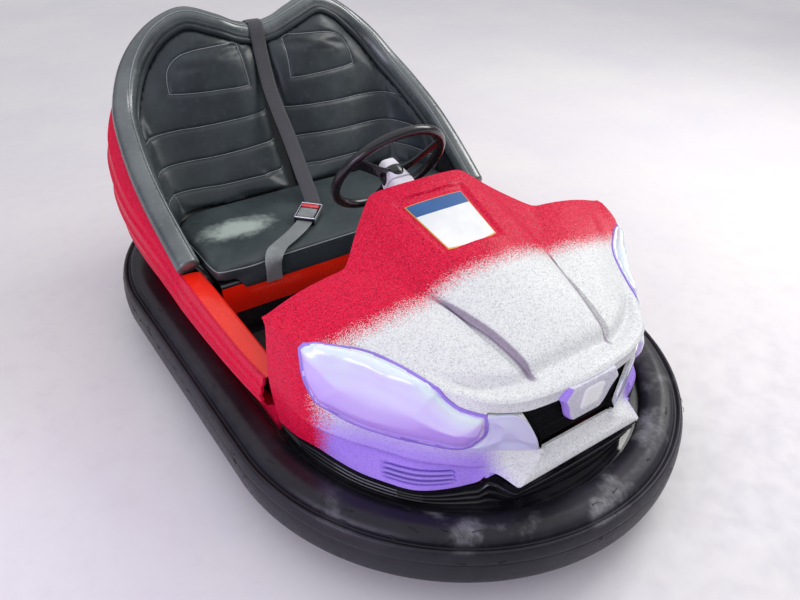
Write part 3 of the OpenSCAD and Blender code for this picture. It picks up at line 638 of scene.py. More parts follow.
def make_bumper():
    ring, out = stadium(BUMPER_R - BUMPER_T, 420)
    count = len(BUMPER_SECTION)
    section = along(np.array(BUMPER_SECTION + BUMPER_SECTION[:1]) * 0.001,
                    np.linspace(0, count, 3 * count, endpoint=False))
    section = np.clip(section, 0, (BUMPER_T, 1))
    rings = ring[:, None] + section[None, :, :1] * out[:, None]
    rings[..., 2] = BUMPER_CLEAR + section[None, :, 1]
    piece("bumper_ring", loops(rings, closed=True), "bumper_rubber", stands_for="bumper_tyre", sharp=180)
    bases, ways = stadium(BUMPER_R - BUMPER_T, HAIR_PLACES)
    t = np.linspace(0, 1, 7)[:, None]
    lift = 0.0035 * np.sin(np.pi * np.minimum(1, 1.1 * t))
    hairs = []
    for k in range(HAIR_COUNT):
        at = int(rng.uniform(0, 1) * HAIR_PLACES)
        w = ways[at]
        if k % 3:
            out_at = rng.choice(list(HAIR_RINGS))
            high, bow, rise = HAIR_RINGS[out_at], 0.35 * w, UP
        else:
            out_at, high, bow, rise = HAIR_SIDE_OUT, rng.uniform(0.05, 0.075), 0.25 * UP, 0.6 * w
        start = bases[at] + w * out_at + (BUMPER_CLEAR + high) * UP
        length, bend, lean = rng.uniform(0.014, 0.03), rng.uniform(-1.6, 1.6), rng.uniform(-1, 1)
        side = math.copysign(1, lean) * np.array([-w[1], w[0], 0.0])
        path = start + length * (t * side + bend * t * t * bow) + lift * rise
        hairs.append(tube(path, HAIR_R * (1 - 0.4 * t[:, 0]), 5))
    piece("bumper_mould_hairs", joined(hairs), "wheel_rubber", sharp=180)


make_bumper()

# Seat tub and roll, in mm from the sill's end round to the middle of the back
# Rim: x, y, z of its top, x, y of the seat shell's foot, x, y of the tub's lip
RIM = np.array([
    [484, 130, 392, 448, 130, 520, 130],
    [490, 217, 446, 448, 217, 521, 217],
    [494, 304, 499, 445, 300, 521, 305],
    [493, 394, 553, 436, 372, 522, 393],
    [482, 495, 612, 415, 425, 518, 483],
    [461, 588, 671, 385, 458, 497, 567],
    [420, 653, 743, 335, 474, 447, 653],
    [360, 697, 804, 275, 480, 372, 734],
    [290, 712, 849, 215, 483, 290, 796],
    [211, 705, 872, 155, 485, 204, 838],
    [121, 690, 846, 90, 486, 117, 860],
    [61, 690, 819, 45, 486, 59, 869],
    [0, 694, 804, 0, 486, 0, 872]], float) * 0.001
# Sill: x, y, z of its edge, x, y of the tub's lip
SILL = np.array([[504, -330, 333, 500, -330], [512, -240, 336, 508, -240], [516, -110, 341, 515, -110],
                 [516, 20, 346, 519, 20], [514, 95, 347, 520, 95]], float) * 0.001
BACK = 12.0
SILL_COLUMNS = 49
RIM_COLUMNS = 289
SHELL_T = 0.006
TUB_SWELL = 0.030
TUB_BELLY = 0.06
LIP_DROP = 0.012
# Strakes of the tub's side: share of the way down, and depth
STRAKES = ((0.26, 0.006), (0.50, 0.007), (0.76, 0.005))
# Roll: turn of its seam, and its ends as share of the way out and share of the width left there
ROLL_SEAM = math.radians(128)
ROLL_CAP_LONG = 0.008
ROLL_CAP = ((0.35, 0.98419), (0.7, 0.92854), (1.0, 0.7), (1.0, 0.02))
# Bead that closes the gap between the roll and the pads
ROLL_FOOT_FROM = 2.1
ROLL_FOOT_TURN = math.radians(207)
ROLL_FOOT_R = 0.0095


def rim(u):
    """Rows of the rim's table at u, mirrored past the middle of the back."""
    u = np.asarray(u, float)
    r = along(RIM, np.minimum(u, 2 * BACK - u))
    side = np.where(u <= BACK, 1.0, -1.0)
    for k in (0, 3, 5):
        r[:, k] *= side
    return r


def rim_out(u):
    a, b = rim(np.maximum(0, u - 0.05)), rim(np.minimum(2 * BACK, u + 0.05))
    return unit(xyz(b[:, 1] - a[:, 1], a[:, 0] - b[:, 0], 0))


def rim_up(u):
    way = unit(rim(np.minimum(2 * BACK, u + 0.1))[:, :3] - rim(np.maximum(0, u - 0.1))[:, :3])
    return unit(np.cross(rim_out(u), way))


def roll_centre(u):
    return rim(u)[:, :3] - ROLL_R * rim_up(u)


def on_roll(us, angle, r):
    """Places at one turn round the roll, r from its middle."""
    return roll_centre(us) + r * (math.cos(angle) * rim_out(us) + math.sin(angle) * rim_up(us))


def roll_seat(u, side, near):
    drop = math.sqrt(ROLL_R ** 2 - near ** 2) + SEAT_GAP
    return roll_centre(u) + side * 0.7 * ROLL_R * rim_out(u) - drop * rim_up(u)


def shell_at(u, b):
    r = rim(u)
    top = roll_seat(u, -1, 0.7 * ROLL_R)
    foot = xyz(r[:, 3], r[:, 4], SEAT_Z)
    belly = (0.05 * (top[:, 2] - SEAT_Z) * np.sin(np.pi * b))[:, None]
    return foot + b[:, None] * (top - foot) + belly * rim_out(u)


def tub_columns():
    """Top edge, lip and outward direction of each column, from the left sill round to the right."""
    s = along(SILL, np.linspace(0, 4, SILL_COLUMNS))
    us = np.linspace(0, 2 * BACK, RIM_COLUMNS)
    r = rim(us)
    middle = (roll_seat(us, 1, 0.7 * ROLL_R - SKIN_T), xyz(r[:, 5], r[:, 6], LIP_Z), rim_out(us))
    left = (s[:, :3], xyz(s[:, 3], s[:, 4], LIP_Z), np.tile([1.0, 0, 0], (len(s), 1)))
    return [np.concatenate([a, b, a[::-1] * (-1, 1, 1)]) for a, b in zip(left, middle)]


def make_tub():
    top, lip, out = tub_columns()
    foot = ring_foot(lip, FOOT_GAP, FLOOR_TOP)
    height = (top[:, 2] - LIP_Z)[:, None]
    u = np.linspace(0, 2 * BACK, RIM_COLUMNS)
    u = np.minimum(u, 2 * BACK - u)
    swell = smooth((u - 0.2) / 3.5) * (1 - 0.6 * smooth((u - 7.5) / 3))
    swell = TUB_SWELL * np.pad(swell, SILL_COLUMNS)[:, None]
    rows = []
    for t in np.linspace(0, 1, 49):
        grid = top + t * (lip - top) + TUB_BELLY * height * math.sin(math.pi * t) * out
        grid = grid + swell * smooth(t / 0.12) * (1 - t) * out
        strakes = 0.0
        for line, deep in STRAKES:
            above = LIP_Z + (1 - line) * height - grid[:, 2:3]
            strakes = strakes + deep * (smooth(above / 0.008 + 0.5) - smooth(above / 0.075))
        rows.append(grid + strakes * out * smooth(height / 0.10))
    for t in (0.25, 0.5, 0.75, 1.0):
        bend = lip + 0.8 * t * (foot - lip)
        bend[:, 2] = LIP_Z - LIP_DROP * t
        rows.append(bend)
    rows += [(rows[-1] + foot) / 2, foot]
    outer = np.stack(rows)
    piece("tub_shell", sheet(outer, outer - SKIN_T * out[None]), "tub_red", stands_for="tub", sharp=50)


def make_roll():
    us = np.linspace(0, 2 * BACK, 385)
    off = turns(40) - ROLL_SEAM
    radius = ROLL_R - 0.0016 * hump(off, 0.07) + 0.0008 * hump(np.abs(off) - 0.2, 0.12)
    rings = list(np.stack([on_roll(us, a, r) for a, r in zip(off + ROLL_SEAM, radius)], 1))
    for end, inside in ((0, 4), (-1, -5)):
        middle = rings[end].mean(0)
        way = ROLL_CAP_LONG * unit(middle - rings[inside].mean(0))
        caps = [middle + share * (rings[end] - middle) + t * way for t, share in ROLL_CAP]
        rings = caps[::-1] + rings if end == 0 else rings + caps
    # Paler vinyl: painted highlight along the roll
    piece("edge_roll", loops(rings), "roll_vinyl", stands_for="bolster", sharp=60)


def make_seat_shell():
    us = np.linspace(0, 2 * BACK, 241)
    outer = np.stack([shell_at(us, 0 * us + b) for b in np.linspace(1, 0, 25)])
    shape = sheet(outer, outer - SHELL_T * rim_out(us)[None])
    piece("inner_seat_shell", shape, "shell_black", stands_for="seat_shell", sharp=50)


def make_roll_welt():
    us = np.linspace(0.05, 2 * BACK - 0.05, 385)
    welt = tube(on_roll(us, ROLL_SEAM, ROLL_R + 0.0002), 0.0016, 6)
    # Pale welt: painted highlight along the roll's seam
    piece("roll_welt", welt, "seam_highlight", sharp=180)
    us = np.linspace(ROLL_FOOT_FROM, 2 * BACK - ROLL_FOOT_FROM, 385)
    foot = tube(on_roll(us, ROLL_FOOT_TURN, ROLL_R + 0.0035), ROLL_FOOT_R, 14)
    piece("roll_foot", foot, "seat_vinyl", sharp=180)


make_tub()
make_roll_welt()
make_roll()
make_seat_shell()

# Front cowl from the middle to the rear corner of the wing, on the +X side
# Places down each column: rear edge, top at the plate's foot, top near the nose, front top edge,
# lower edge of the lamps, bottom edge
COWL = np.array([
    [[0, -195, 632], [0, -484, 557], [0, -655, 508],
     [0, -806, 446], [0, -798, 295], [0, -824, 246]],
    [[70, -193, 631], [78, -484, 551], [66, -655, 505],
     [50, -803, 445], [34, -798, 295], [62, -824, 246]],
    [[137, -189, 624], [163, -480, 528], [131, -658, 494],
     [102, -796, 443], [66, -798, 295], [120, -824, 246]],
    [[205, -242, 575], [170, -485, 521], [139, -662, 487],
     [112, -794, 442], [80, -798, 295], [152, -824, 246]],
    [[281, -318, 535], [177, -490, 516], [147, -666, 481],
     [125, -791, 441], [96, -798, 295], [185, -824, 246]],
    [[340, -325, 534], [262, -476, 514], [208, -640, 483],
     [178, -774, 439], [114, -797, 295], [207, -765, 254]],
    [[400, -332, 528], [325, -455, 511], [262, -605, 482],
     [228, -745, 442], [245, -727, 308], [246, -752, 224]],
    [[440, -338, 521], [378, -445, 507], [320, -560, 482],
     [284, -678, 453], [308, -662, 310], [340, -702, 216]],
    [[468, -342, 515], [425, -420, 503], [385, -490, 490],
     [345, -570, 470], [362, -592, 310], [393, -632, 214]],
    [[484, -344, 512], [462, -392, 504], [440, -440, 496],
     [415, -498, 484], [430, -520, 315], [434, -560, 214]],
    [[494, -345, 511], [488, -372, 508], [481, -402, 503],
     [470, -440, 496], [480, -450, 330], [470, -445, 214]],
    [[497, -345, 511], [498, -350, 510], [499, -356, 509],
     [500, -362, 508], [503, -356, 357], [486, -350, 212]]],
    float) * 0.001
WING = 11.0
CREASES = (0, 2, 4, 11)


def across(s):
    s = np.clip(np.abs(s), 0, WING)
    out = np.empty((len(s),) + COWL.shape[1:])
    for a, b in zip(CREASES, CREASES[1:]):
        k = (s >= a) & (s <= b)
        if k.any():
            out[k] = along(COWL[a:b + 1], s[k] - a)
    return out


def cowl_points(s, v):
    """Places on the cowl: s across from the middle, v from the rear edge over the top and down the front."""
    soft = 0.06 + 0.24 * smooth(1 - v) + 0.16 * smooth((v - 4.1) / 0.6)
    total = 0
    for shift, weight in ((-1, 0.25), (0, 0.5), (1, 0.25)):
        place = s + shift * soft
        cols = across(place).transpose(1, 0, 2)
        total = total + weight * column_points(cols, v, place)
    return total


def run_down(cols, v, last):
    """Points at v down columns that are cut in last + 1 places."""
    n = np.arange(len(v))
    i = np.clip(np.floor(v).astype(int), 0, last - 1)
    t = (v - i)[:, None]
    before, after = np.maximum(i - 1, 0), np.minimum(i + 2, last)
    return curve(cols[before, n], cols[i, n], cols[i + 1, n], cols[after, n], t)


def column_points(cols, v, place):
    """Point v down each column: one curve over the top to its front edge, and one down the front."""
    top, low = run_down(cols[:4], np.minimum(v, 3), 3), run_down(cols[3:], np.maximum(v, 3) - 3, 2)
    p = np.where((v <= 3)[:, None], top, low)
    p[:, 0] *= np.where(place < 0, -1.0, 1.0)
    return p


def cowl_frame(s, v):
    """Places on the plain cowl and the outward directions there."""
    s, v = np.asarray(s, float), np.asarray(v, float)
    e = 0.03
    ds = cowl_points(s + e, v) - cowl_points(s - e, v)
    dv = cowl_points(s, np.minimum(v + e, 5)) - cowl_points(s, np.maximum(v - e, 0))
    return cowl_points(s, v), unit(np.cross(dv, ds))


PLATE_REAR_Y = -0.236
PLATE_FRONT_Y = -0.424
PLATE_DEPTH = 0.007


def plate_half(y):
    return np.interp(-y, [-PLATE_REAR_Y, -PLATE_FRONT_Y], [0.106, 0.088])


def cowl_relief(s, v, p):
    """Height of the mouldings over the plain cowl."""
    a, x, y = np.abs(s), np.abs(p[:, 0]), p[:, 1]
    # Recess of the number plate
    room = np.minimum(np.minimum(plate_half(y) - x, PLATE_REAR_Y - y), y - PLATE_FRONT_Y)
    relief = -PLATE_DEPTH * smooth(room / 0.006) * (v < 1)
    # Dip and lip across the nose
    relief += (0.006 * hump(v - 2.92, 0.13) - 0.014 * hump(v - 2.57, 0.11)) * smooth((6.9 - a) / 1.2)
    # Two grooves down the hood
    valley = smooth((v - 0.95) / 0.3) * smooth((2.62 - v) / 0.2)
    relief += (0.0030 * hump(a - 1.6, 0.35) - 0.0095 * smooth((0.85 - np.abs(a - 2.75)) / 0.35)) * valley
    relief -= 0.0035 * hump(a - 1.98, 0.17) * valley
    # Ridge along the front bar
    ridge = np.clip(1 - np.abs(v - 4.65) / 0.65 * np.where(v > 4.65, 1.85, 1), 0, 1)
    relief += 0.006 * ridge * smooth((5.2 - a) / 0.4) * (v > 4)
    # Step under the lamps
    step = np.interp(a, [5.8, 6.25, 7.7, 9.05, 10.5], [4.46, 4.39, 4.35, 4.28, 4.25])
    part = smooth((a - 5.6) / 0.5) * smooth((10.4 - a) / 0.8)
    relief += (0.004 * hump(v - step + 0.06, 0.05) - 0.008 * smooth((v - step) / 0.045 + 0.5)) * part
    # Pocket of the fog lamp
    slant = 0.16 * (v - 4.45)
    room = np.minimum(np.minimum((a - 6.25 - slant) / 0.10, (8.05 - slant - a) / 0.12),
                      np.minimum((v - 4.50) / 0.05, (4.86 - v) / 0.05))
    return relief - 0.0085 * smooth(room)


WING_TIP = (0.499, -0.350, 0.512)


def cowl_surface(s, v):
    p, n = cowl_frame(s, v)
    p = p + cowl_relief(s, v, p)[:, None] * n
    fall = hump(np.linalg.norm(np.abs(p) - np.abs(WING_TIP), axis=1), 0.034)
    p[:, 2] -= 0.004 * fall
    p[:, 0] += 0.002 * fall * np.sign(p[:, 0])
    return p, n


def steps(*runs):
    """Places between the ends of each run of (start, end, count), joined."""
    return np.concatenate([np.linspace(a, b, n, endpoint=False) for a, b, n in runs] + [[runs[-1][1]]])


COWL_HALF = steps((0, 1.6, 26), (1.6, 4, 22), (4, 5, 8), (5, 11, 62))
COWL_DOWN = steps((0, 0.14, 4), (0.14, 0.22, 5), (0.22, 0.70, 16), (0.70, 0.86, 10), (0.86, 2.3, 20),
                  (2.3, 3.0, 18), (3.0, 3.25, 7), (3.25, 4.0, 14), (4.0, 5.0, 32))

# Lamp covers, and the tusks inside of them: outlines in places on the cowl, from the rear end
# Each has its top edge, rear edge, bottom edge and inner edge
LAMP = (
    [(9.97, 3.14), (9.3, 2.54), (8.5, 2.38), (7.75, 2.27), (7.42, 2.41), (7.17, 2.68), (7.0, 3.05),
     (6.6, 3.24), (6.17, 3.28), (5.85, 3.30)],
    [(9.97, 3.14), (9.95, 3.30), (9.86, 3.56), (9.55, 3.80)],
    [(9.55, 3.80), (9.03, 3.89), (8.35, 4.02), (7.72, 4.06), (7.05, 4.05), (6.22, 4.03), (5.95, 3.93)],
    [(5.85, 3.30), (5.77, 3.5), (5.78, 3.7), (5.95, 3.93)])
TUSK = (
    [(5.86, 3.33), (5.6, 3.30), (5.35, 3.29), (5.18, 3.31)],
    [(5.86, 3.33), (5.77, 3.55), (5.80, 3.8), (5.95, 3.97)],
    [(5.95, 3.97), (5.6, 3.99), (5.3, 4.0), (5.0, 4.02)],
    [(5.18, 3.31), (5.02, 3.45), (5.0, 3.7), (5.0, 4.02)])
LAMP_FLANGE = 0.0075
LAMP_OFF = 0.0012
LAMP_T = 0.004


def on_surface_spline(points, count):
    """Evenly spaced places (s, v) along a curve over the cowl, by real distance."""
    fine = along(points, np.linspace(0, len(points) - 1, 60 * len(points)))
    return evenly(fine, cowl_points(fine[:, 0], fine[:, 1]), count)


def patch(top, rear, bottom, inner, across_count, down_count):
    """Patch of places (s, v) between four edges; the top and bottom run from the rear to the inner end."""
    t, b = on_surface_spline(top, across_count), on_surface_spline(bottom, across_count)
    r, i = on_surface_spline(rear, down_count), on_surface_spline(inner, down_count)
    x = np.linspace(0, 1, across_count)[None, :, None]
    y = np.linspace(0, 1, down_count)[:, None, None]
    return ((1 - y) * t[None] + y * b[None] + (1 - x) * r[:, None] + x * i[:, None]
            - (1 - x) * (1 - y) * t[0] - x * (1 - y) * t[-1] - (1 - x) * y * b[0] - x * y * b[-1])


def relaxed(grid, rounds):
    """Grid of points smoothed inside its fixed edge."""
    grid = grid.copy()
    for _ in range(rounds):
        grid[1:-1, 1:-1] = (grid[:-2, 1:-1] + grid[2:, 1:-1] + grid[1:-1, :-2] + grid[1:-1, 2:]) / 4
    return grid


def lamp_shell(edges, count, rounds, height, side):
    """Cover over a patch of the cowl, smoothed but never under it, and which of its faces are flange."""
    places = patch(*edges, *count)
    start, n = cowl_frame(places[..., 0].ravel(), places[..., 1].ravel())
    start = (start + LAMP_OFF * n).reshape(places.shape[:2] + (3,))
    lift = n.reshape(start.shape)
    base = start
    for _ in range(rounds):
        base = relaxed(base, 1)
        base = base + np.maximum(((start - base) * lift).sum(-1, keepdims=True), 0) * lift
    base = relaxed(base, 2)
    away = nearest(base.reshape(-1, 3), border(base)).reshape(base.shape[:2])
    up = outward(base, n)
    outer = base + height(away)[..., None] * up
    inner = (outer - LAMP_T * up) * (side, 1, 1)
    outer = outer * (side, 1, 1)
    points, faces = sheet(outer, inner)
    return (points, faces), nearest(points[faces].mean(1), border(outer)) < LAMP_FLANGE


def lamp_height(away):
    rise = np.sqrt(np.clip(1 - (1 - np.clip((away - 0.011) / 0.034, 0, 1)) ** 2, 0, 1))
    return 0.002 * smooth(away / 0.003) + 0.015 * rise + 0.008 * smooth((away - 0.015) / 0.07)


def tusk_height(away):
    return 0.0015 * smooth(away / 0.003) + 0.004 * smooth((away - 0.004) / 0.03)


def inside(places, loop):
    """Which places (s, v) lie inside a closed loop."""
    x, y = places[:, 0], places[:, 1]
    within = np.zeros(len(places), bool)
    for (x0, y0), (x1, y1) in zip(loop, np.roll(loop, -1, 0)):
        cross = (y0 > y) != (y1 > y)
        with np.errstate(divide="ignore", invalid="ignore"):
            within ^= cross & (x < (x1 - x0) * (y - y0) / (y1 - y0) + x0)
    return within


def make_cowl():
    s, v = np.meshgrid(both_ways(COWL_HALF), COWL_DOWN)
    p, n = cowl_surface(s.ravel(), v.ravel())
    outer = p.reshape(s.shape + (3,))
    inner = outer - SKIN_T * outward(outer, n)
    mid_s, mid_v = np.abs(s[:-1, :-1] + s[1:, 1:]) / 2, (v[:-1, :-1] + v[1:, 1:]) / 2
    hole = (mid_s < 5) & (mid_v > 3.25) & (mid_v < 4)
    hole |= (mid_s < 5.9) & (mid_v > 3.25) & (mid_v < 3.31)
    top, rear, bottom, inside_edge = (on_surface_spline(*edge) for edge in zip(LAMP, (40, 12, 40, 12)))
    loop = np.concatenate([top, inside_edge, bottom[::-1], rear[::-1]])
    cells = np.stack([mid_s.ravel(), mid_v.ravel()], -1)
    near = nearest(cowl_points(*cells.T), cowl_points(*loop.T))
    bucket = (inside(cells, loop) & (near > 0.012)).reshape(mid_s.shape)
    # Cowl paint, with painted violet light low on its sides and painted shade along the hood's grooves
    piece("front_cowl", sheet(outer, inner, ~(hole | bucket)), "cowl_glitter", stands_for="cowl", sharp=48)
    for name, side in SIDES.items():
        # Faces near each lamp's border take the painted violet light of the flange
        shape, flange = lamp_shell(LAMP, (110, 48), 260, lamp_height, side)
        # Lamp cover with painted light from above
        piece("lamp_cover_" + name, shape, "lamp_cover", stands_for="headlight_" + name, sharp=60,
              more_looks=("flange_violet_light",), look_of=flange)
        # Tusk, also with painted light from above
        shape, _ = lamp_shell(TUSK, (28, 30), 8, tusk_height, side)
        piece("lamp_tusk_" + name, shape, "tusk_cover", sharp=60)


SKIRT_GAP = 0.001
SKIRT_FOOT_GAP = 0.028
SKIRT_T = 0.005


def make_skirt():
    ss = both_ways(np.linspace(0, WING, 120))
    p, n = cowl_surface(ss, 0 * ss + 5.0)
    out = ring_out(p)
    low_z = np.minimum(p[:, 2], (p - SKIN_T * n)[:, 2])
    low_z = np.minimum(low_z, np.minimum(np.roll(low_z, 3), np.roll(low_z, -3)))
    top = p - SKIRT_GAP * out
    top[:, 2] = low_z - SKIRT_GAP
    foot = ring_foot(p, SKIRT_FOOT_GAP, FLOOR_TOP)
    rows = []
    for t in np.linspace(0, 1, 25):
        ridge = 0.0035 * sum(hump(t - c, 0.035) for c in (0.3, 0.55, 0.8))
        rows.append(top + t * (foot - top) + ridge * out)
    outer = np.stack(rows)
    shape = sheet(outer, outer - SKIRT_T * out[None])
    piece("front_skirt", shape, "skirt_black", stands_for="skirt", sharp=50)


def cowl_place(x, y):
    """Places (s, v) on the top of the cowl with the given x and y, found by Newton's steps."""
    s, v = x / 0.073, (-y - 0.195) / 0.289
    e = 0.01
    for _ in range(12):
        p = cowl_points(s, v)
        ds, dv = (cowl_points(s + e, v) - p) / e, (cowl_points(s, v + e) - p) / e
        det = ds[:, 0] * dv[:, 1] - ds[:, 1] * dv[:, 0]
        fx, fy = x - p[:, 0], y - p[:, 1]
        s = s + (fx * dv[:, 1] - fy * dv[:, 0]) / det
        v = np.clip(v + (ds[:, 0] * fy - ds[:, 1] * fx) / det, 0.02, 0.98)
    return s, v


PLATE_SPAN = [0.262, 0.412]
PLATE_BOW = 0.010
PLATE_T = 0.0012


def plate_sheet(name, inset, lift, y0, y1, look, stands_for=None):
    """Part of the number plate between two places y0 and y1 down it, on the floor of its recess."""
    t = np.linspace(-1, 1, 33)
    rows = []
    for y in np.linspace(y0, y1, 25):
        half = np.interp(-y, PLATE_SPAN, [0.085, 0.071]) - inset
        bow = PLATE_BOW * np.interp(-y, PLATE_SPAN, [0.15, 1.0])
        rows.append(np.stack([t * half, y - bow * (1 - t * t)], -1))
    p, n = cowl_frame(*cowl_place(*np.concatenate(rows).T))
    outer, inner = ((p + (lift - PLATE_DEPTH + thick) * n).reshape(25, 33, 3) for thick in (PLATE_T, 0))
    piece(name, sheet(outer, inner), look, stands_for=stands_for)


# Shield under the lip, drawn as half width and height, with a blank badge on it
SHIELD = [(0.082, 0.418), (0.071, 0.402), (0.064, 0.385), (0.058, 0.368), (0.048, 0.353), (0.034, 0.3455),
          (0, 0.344)]
SHIELD_TOP = 0.446
SHIELD_LOW = 0.3425
SHIELD_BULGE = 0.012
SHIELD_LEAN = 0.05
# Badge: share of its size and depth of each of its rings
BADGE = ((0.0001, -0.8185), (0.35, -0.8185), (0.7, -0.8185), (0.94, -0.8185), (1.0, -0.8178), (1.0, -0.812))


def make_shield():
    half = spline(SHIELD, 28)
    zs = np.linspace(SHIELD_TOP, SHIELD_LOW + 0.001, 30)
    order = np.argsort(half[:, 1])
    width = np.interp(zs, half[order, 1], half[order, 0])
    width = np.where(zs > 0.418, 0.082 - 0.6 * (zs - 0.418), width)
    t = np.linspace(-1, 1, 41)
    rows = []
    for z, w in zip(zs, width):
        edge = np.minimum(np.minimum((1 - np.abs(t)) * w, z - SHIELD_LOW), 0.004 + SHIELD_TOP - z)
        bulge = SHIELD_BULGE * np.sqrt(np.clip(1 - (1 - np.clip(edge / SHIELD_BULGE, 0, 1)) ** 2, 0, 1))
        rows.append(xyz(t * w, -0.803 + SHIELD_LEAN * (0.41 - z) - bulge, z))
    front = np.stack(rows)
    back = front.copy()
    back[..., 1] = -0.796
    # Shield with painted violet shade on its left side
    piece("lip_shield", sheet(front, back), "shield_glitter", sharp=50)
    x, up = squircle(CORNER_POWER, 40)
    rings = []
    for r, depth in BADGE:
        z = 0.402 + 0.031 * r * up
        rings.append(xyz(0.001 + 0.030 * r * x, depth + SHIELD_LEAN * (0.41 - z), z))
    piece("blank_badge", loops(rings), "badge_white", stands_for="badge")


GRILLE_WAVE = 0.002
SLAT_FROM = 4.545
SLAT_STEP = 0.10
SLAT_WIDE = 0.062
SLAT_T = 0.003


def make_grille():
    s, v = np.meshgrid(np.linspace(-5.5, 5.5, 67), np.linspace(3.1, 3.97, 22))
    p, n = cowl_frame(s.ravel(), v.ravel())
    wave = GRILLE_WAVE * np.sin(v.ravel() * 60)
    outer = (p + (wave - GRILLE_WAVE - SKIN_T - 0.0028)[:, None] * n).reshape(s.shape + (3,))
    inner = (p - (SKIN_T + 0.009) * n).reshape(s.shape + (3,))
    piece("grille_backing", sheet(outer, inner), "grille_black", stands_for="grille_panel", sharp=50)
    a = np.linspace(6.32, 8.0, 30)
    for name, side in SIDES.items():
        parts = []
        for k in range(3):
            rows = []
            for t in np.linspace(0, 1, 6):
                q, m = cowl_frame(a, 0 * a + SLAT_FROM + SLAT_STEP * k + SLAT_WIDE * t)
                rows.append((q + (-0.0095 + 0.004 * math.sin(math.pi * t)) * m) * (side, 1, 1))
            back = [r - SLAT_T * m * (side, 1, 1) for r in rows]
            parts.append(sheet(np.stack(rows), np.stack(back)))
        # Slats in silver with painted violet shade
        piece("fog_slats_" + name, joined(parts), "fog_lens", stands_for="fog_lamp_" + name, sharp=50)


make_cowl()
make_skirt()
plate_sheet("plate_border", 0.0, 0.0, -0.2600, -0.4140, "plate_gold", stands_for="number_plate")
plate_sheet("plate_field", 0.0028, 0.0008, -0.2625, -0.4110, "plate_print")
plate_sheet("plate_band", 0.0028, 0.0012, -0.2625, -0.3000, "plate_blue")
make_shield()
make_grille()


# Footwell and seat base
# Bends of the sill's inner skin, as distance out from the footwell and height from the sill's edge
LINER_BENDS = ((0.020, -0.002), (0, -0.012), (-0.008, -0.060))
LINER_T = 0.004


def make_liner():
    s = along(SILL, np.linspace(0, 4, 60))
    s = np.concatenate([s, s[-1:] + (0, 0.012, 0, 0, 0.012), s[-1:] + (0, 0.045, 0, 0, 0.045)])
    edges = [xyz(s[:, 0] - SKIN_T - SEAT_GAP, s[:, 1], s[:, 2])]
    edges += [xyz(SILL_IN + x, s[:, 1], s[:, 2] + z) for x, z in LINER_BENDS]
    edges.append(xyz(SILL_IN - 0.012, s[:, 1], FLOOR_TOP + 0 * s[:, 2]))
    half = along(np.stack(edges), np.linspace(0, len(edges) - 1, 33))
    up = grid_normals(half)
    up = up if up[0, 30, 2] > 0 else -up
    for name, side in SIDES.items():
        shape = sheet(half * (side, 1, 1), (half - LINER_T * up) * (side, 1, 1))
        piece("sill_liner_" + name, shape, "liner_red", stands_for="cockpit_liner", sharp=60)


PEDESTAL_BAND_Z = 0.238
PEDESTAL_T = 0.005


def make_seat_base():
    front, rear = CUSHION_FRONT_Y - 0.022, 0.584
    bend = [(0, FLOOR_TOP), (-0.006, 0.215), (-0.008, SEAT_Z - 0.060), (-0.003, SEAT_Z - 0.028),
            (0.006, SEAT_Z - 0.006), (0.022, SEAT_Z)]
    bend = along(np.array(bend) + (front, 0), np.linspace(0, 5, 26))
    flat = [[front + 0.1, SEAT_Z], [rear - 0.1, SEAT_Z], [rear, SEAT_Z], [rear, FLOOR_TOP]]
    line = np.concatenate([bend, flat])
    ways = unit(np.gradient(line, axis=0))
    t = np.linspace(-1, 1, 81)
    outer, inner = [], []
    for (y, z), (wy, wz) in zip(line, ways):
        x = t * np.interp(y, [0.4, 0.6], [SILL_IN - 0.020, 0.390])
        outer.append(xyz(x, y, z))
        inner.append(xyz(x, y + PEDESTAL_T * wz, z - PEDESTAL_T * wy))
    points, faces = sheet(np.stack(outer), np.stack(inner))
    middle = points[faces].mean(1)
    below = (middle[:, 2] < PEDESTAL_BAND_Z) | (middle[:, 1] > CUSHION_FRONT_Y - 0.020)
    piece("seat_pedestal", (points, faces), "liner_red", stands_for="seat_base", sharp=50,
          more_looks=("deck_black",), look_of=below)


MAT_RIB = 0.0012
MAT_PITCH = 0.0145


def make_mat():
    half, front, rear = SILL_IN - 0.020, -0.236, CUSHION_FRONT_Y - 0.040
    xs = np.linspace(-half, half, 361)
    rib = MAT_RIB * (np.sin(xs * 2 * np.pi / MAT_PITCH) > 0)
    ends = ((front, 0), (front + 0.01, 1), (rear - 0.01, 1), (rear, 0))
    outer = np.stack([xyz(xs, y, FLOOR_TOP + 0.0028 + rib * ribbed) for y, ribbed in ends])
    inner = outer.copy()
    inner[..., 2] = FLOOR_TOP
    piece("ribbed_mat", sheet(outer, inner), "mat_rubber", stands_for="floor_mat", sharp=30)


PEDAL_AT = (-0.150, -0.205, FLOOR_TOP + 0.004)
PEDAL_RIB = ((0, 0), (2.2, 2.2), (3.2, 0.8), (1.0, -1.6))


def bar(section, ends):
    """Bar of one section, given in mm, between the places of ends along it."""
    section = np.asarray(section, float) * 0.001
    return loops([xyz(section[:, 0], section[:, 1], x) for x in ends])


def make_pedal():
    turn = Matrix(((0, 0, 1, PEDAL_AT[0]), (1, 0, 0, PEDAL_AT[1]), (0, 1, 0, PEDAL_AT[2]), (0, 0, 0, 1)))
    line = [(60, 0), (60, 6), (16, 9.5), (8, 12), (-18, 50), (-46, 96), (-49, 96), (-52, 92), (-30, 56),
            (-7, 8), (-6, 0)]
    parts = [bar(line, (0, 0.0015, 0.0685, 0.070))]
    low, high = np.array([8, 12]), np.array([-46, 96])
    for k in range(6):
        at = low + (high - low) * (0.2 + 0.14 * k)
        parts.append(bar(0.8 * np.array(PEDAL_RIB) + at, (0.006, 0.064)))
    shape = placed(joined(parts), turn)
    bevelled(piece("pedal_plate", shape, "pedal_metal", stands_for="accelerator_pedal", sharp=30), 0.0008)


DASH_T = 0.004


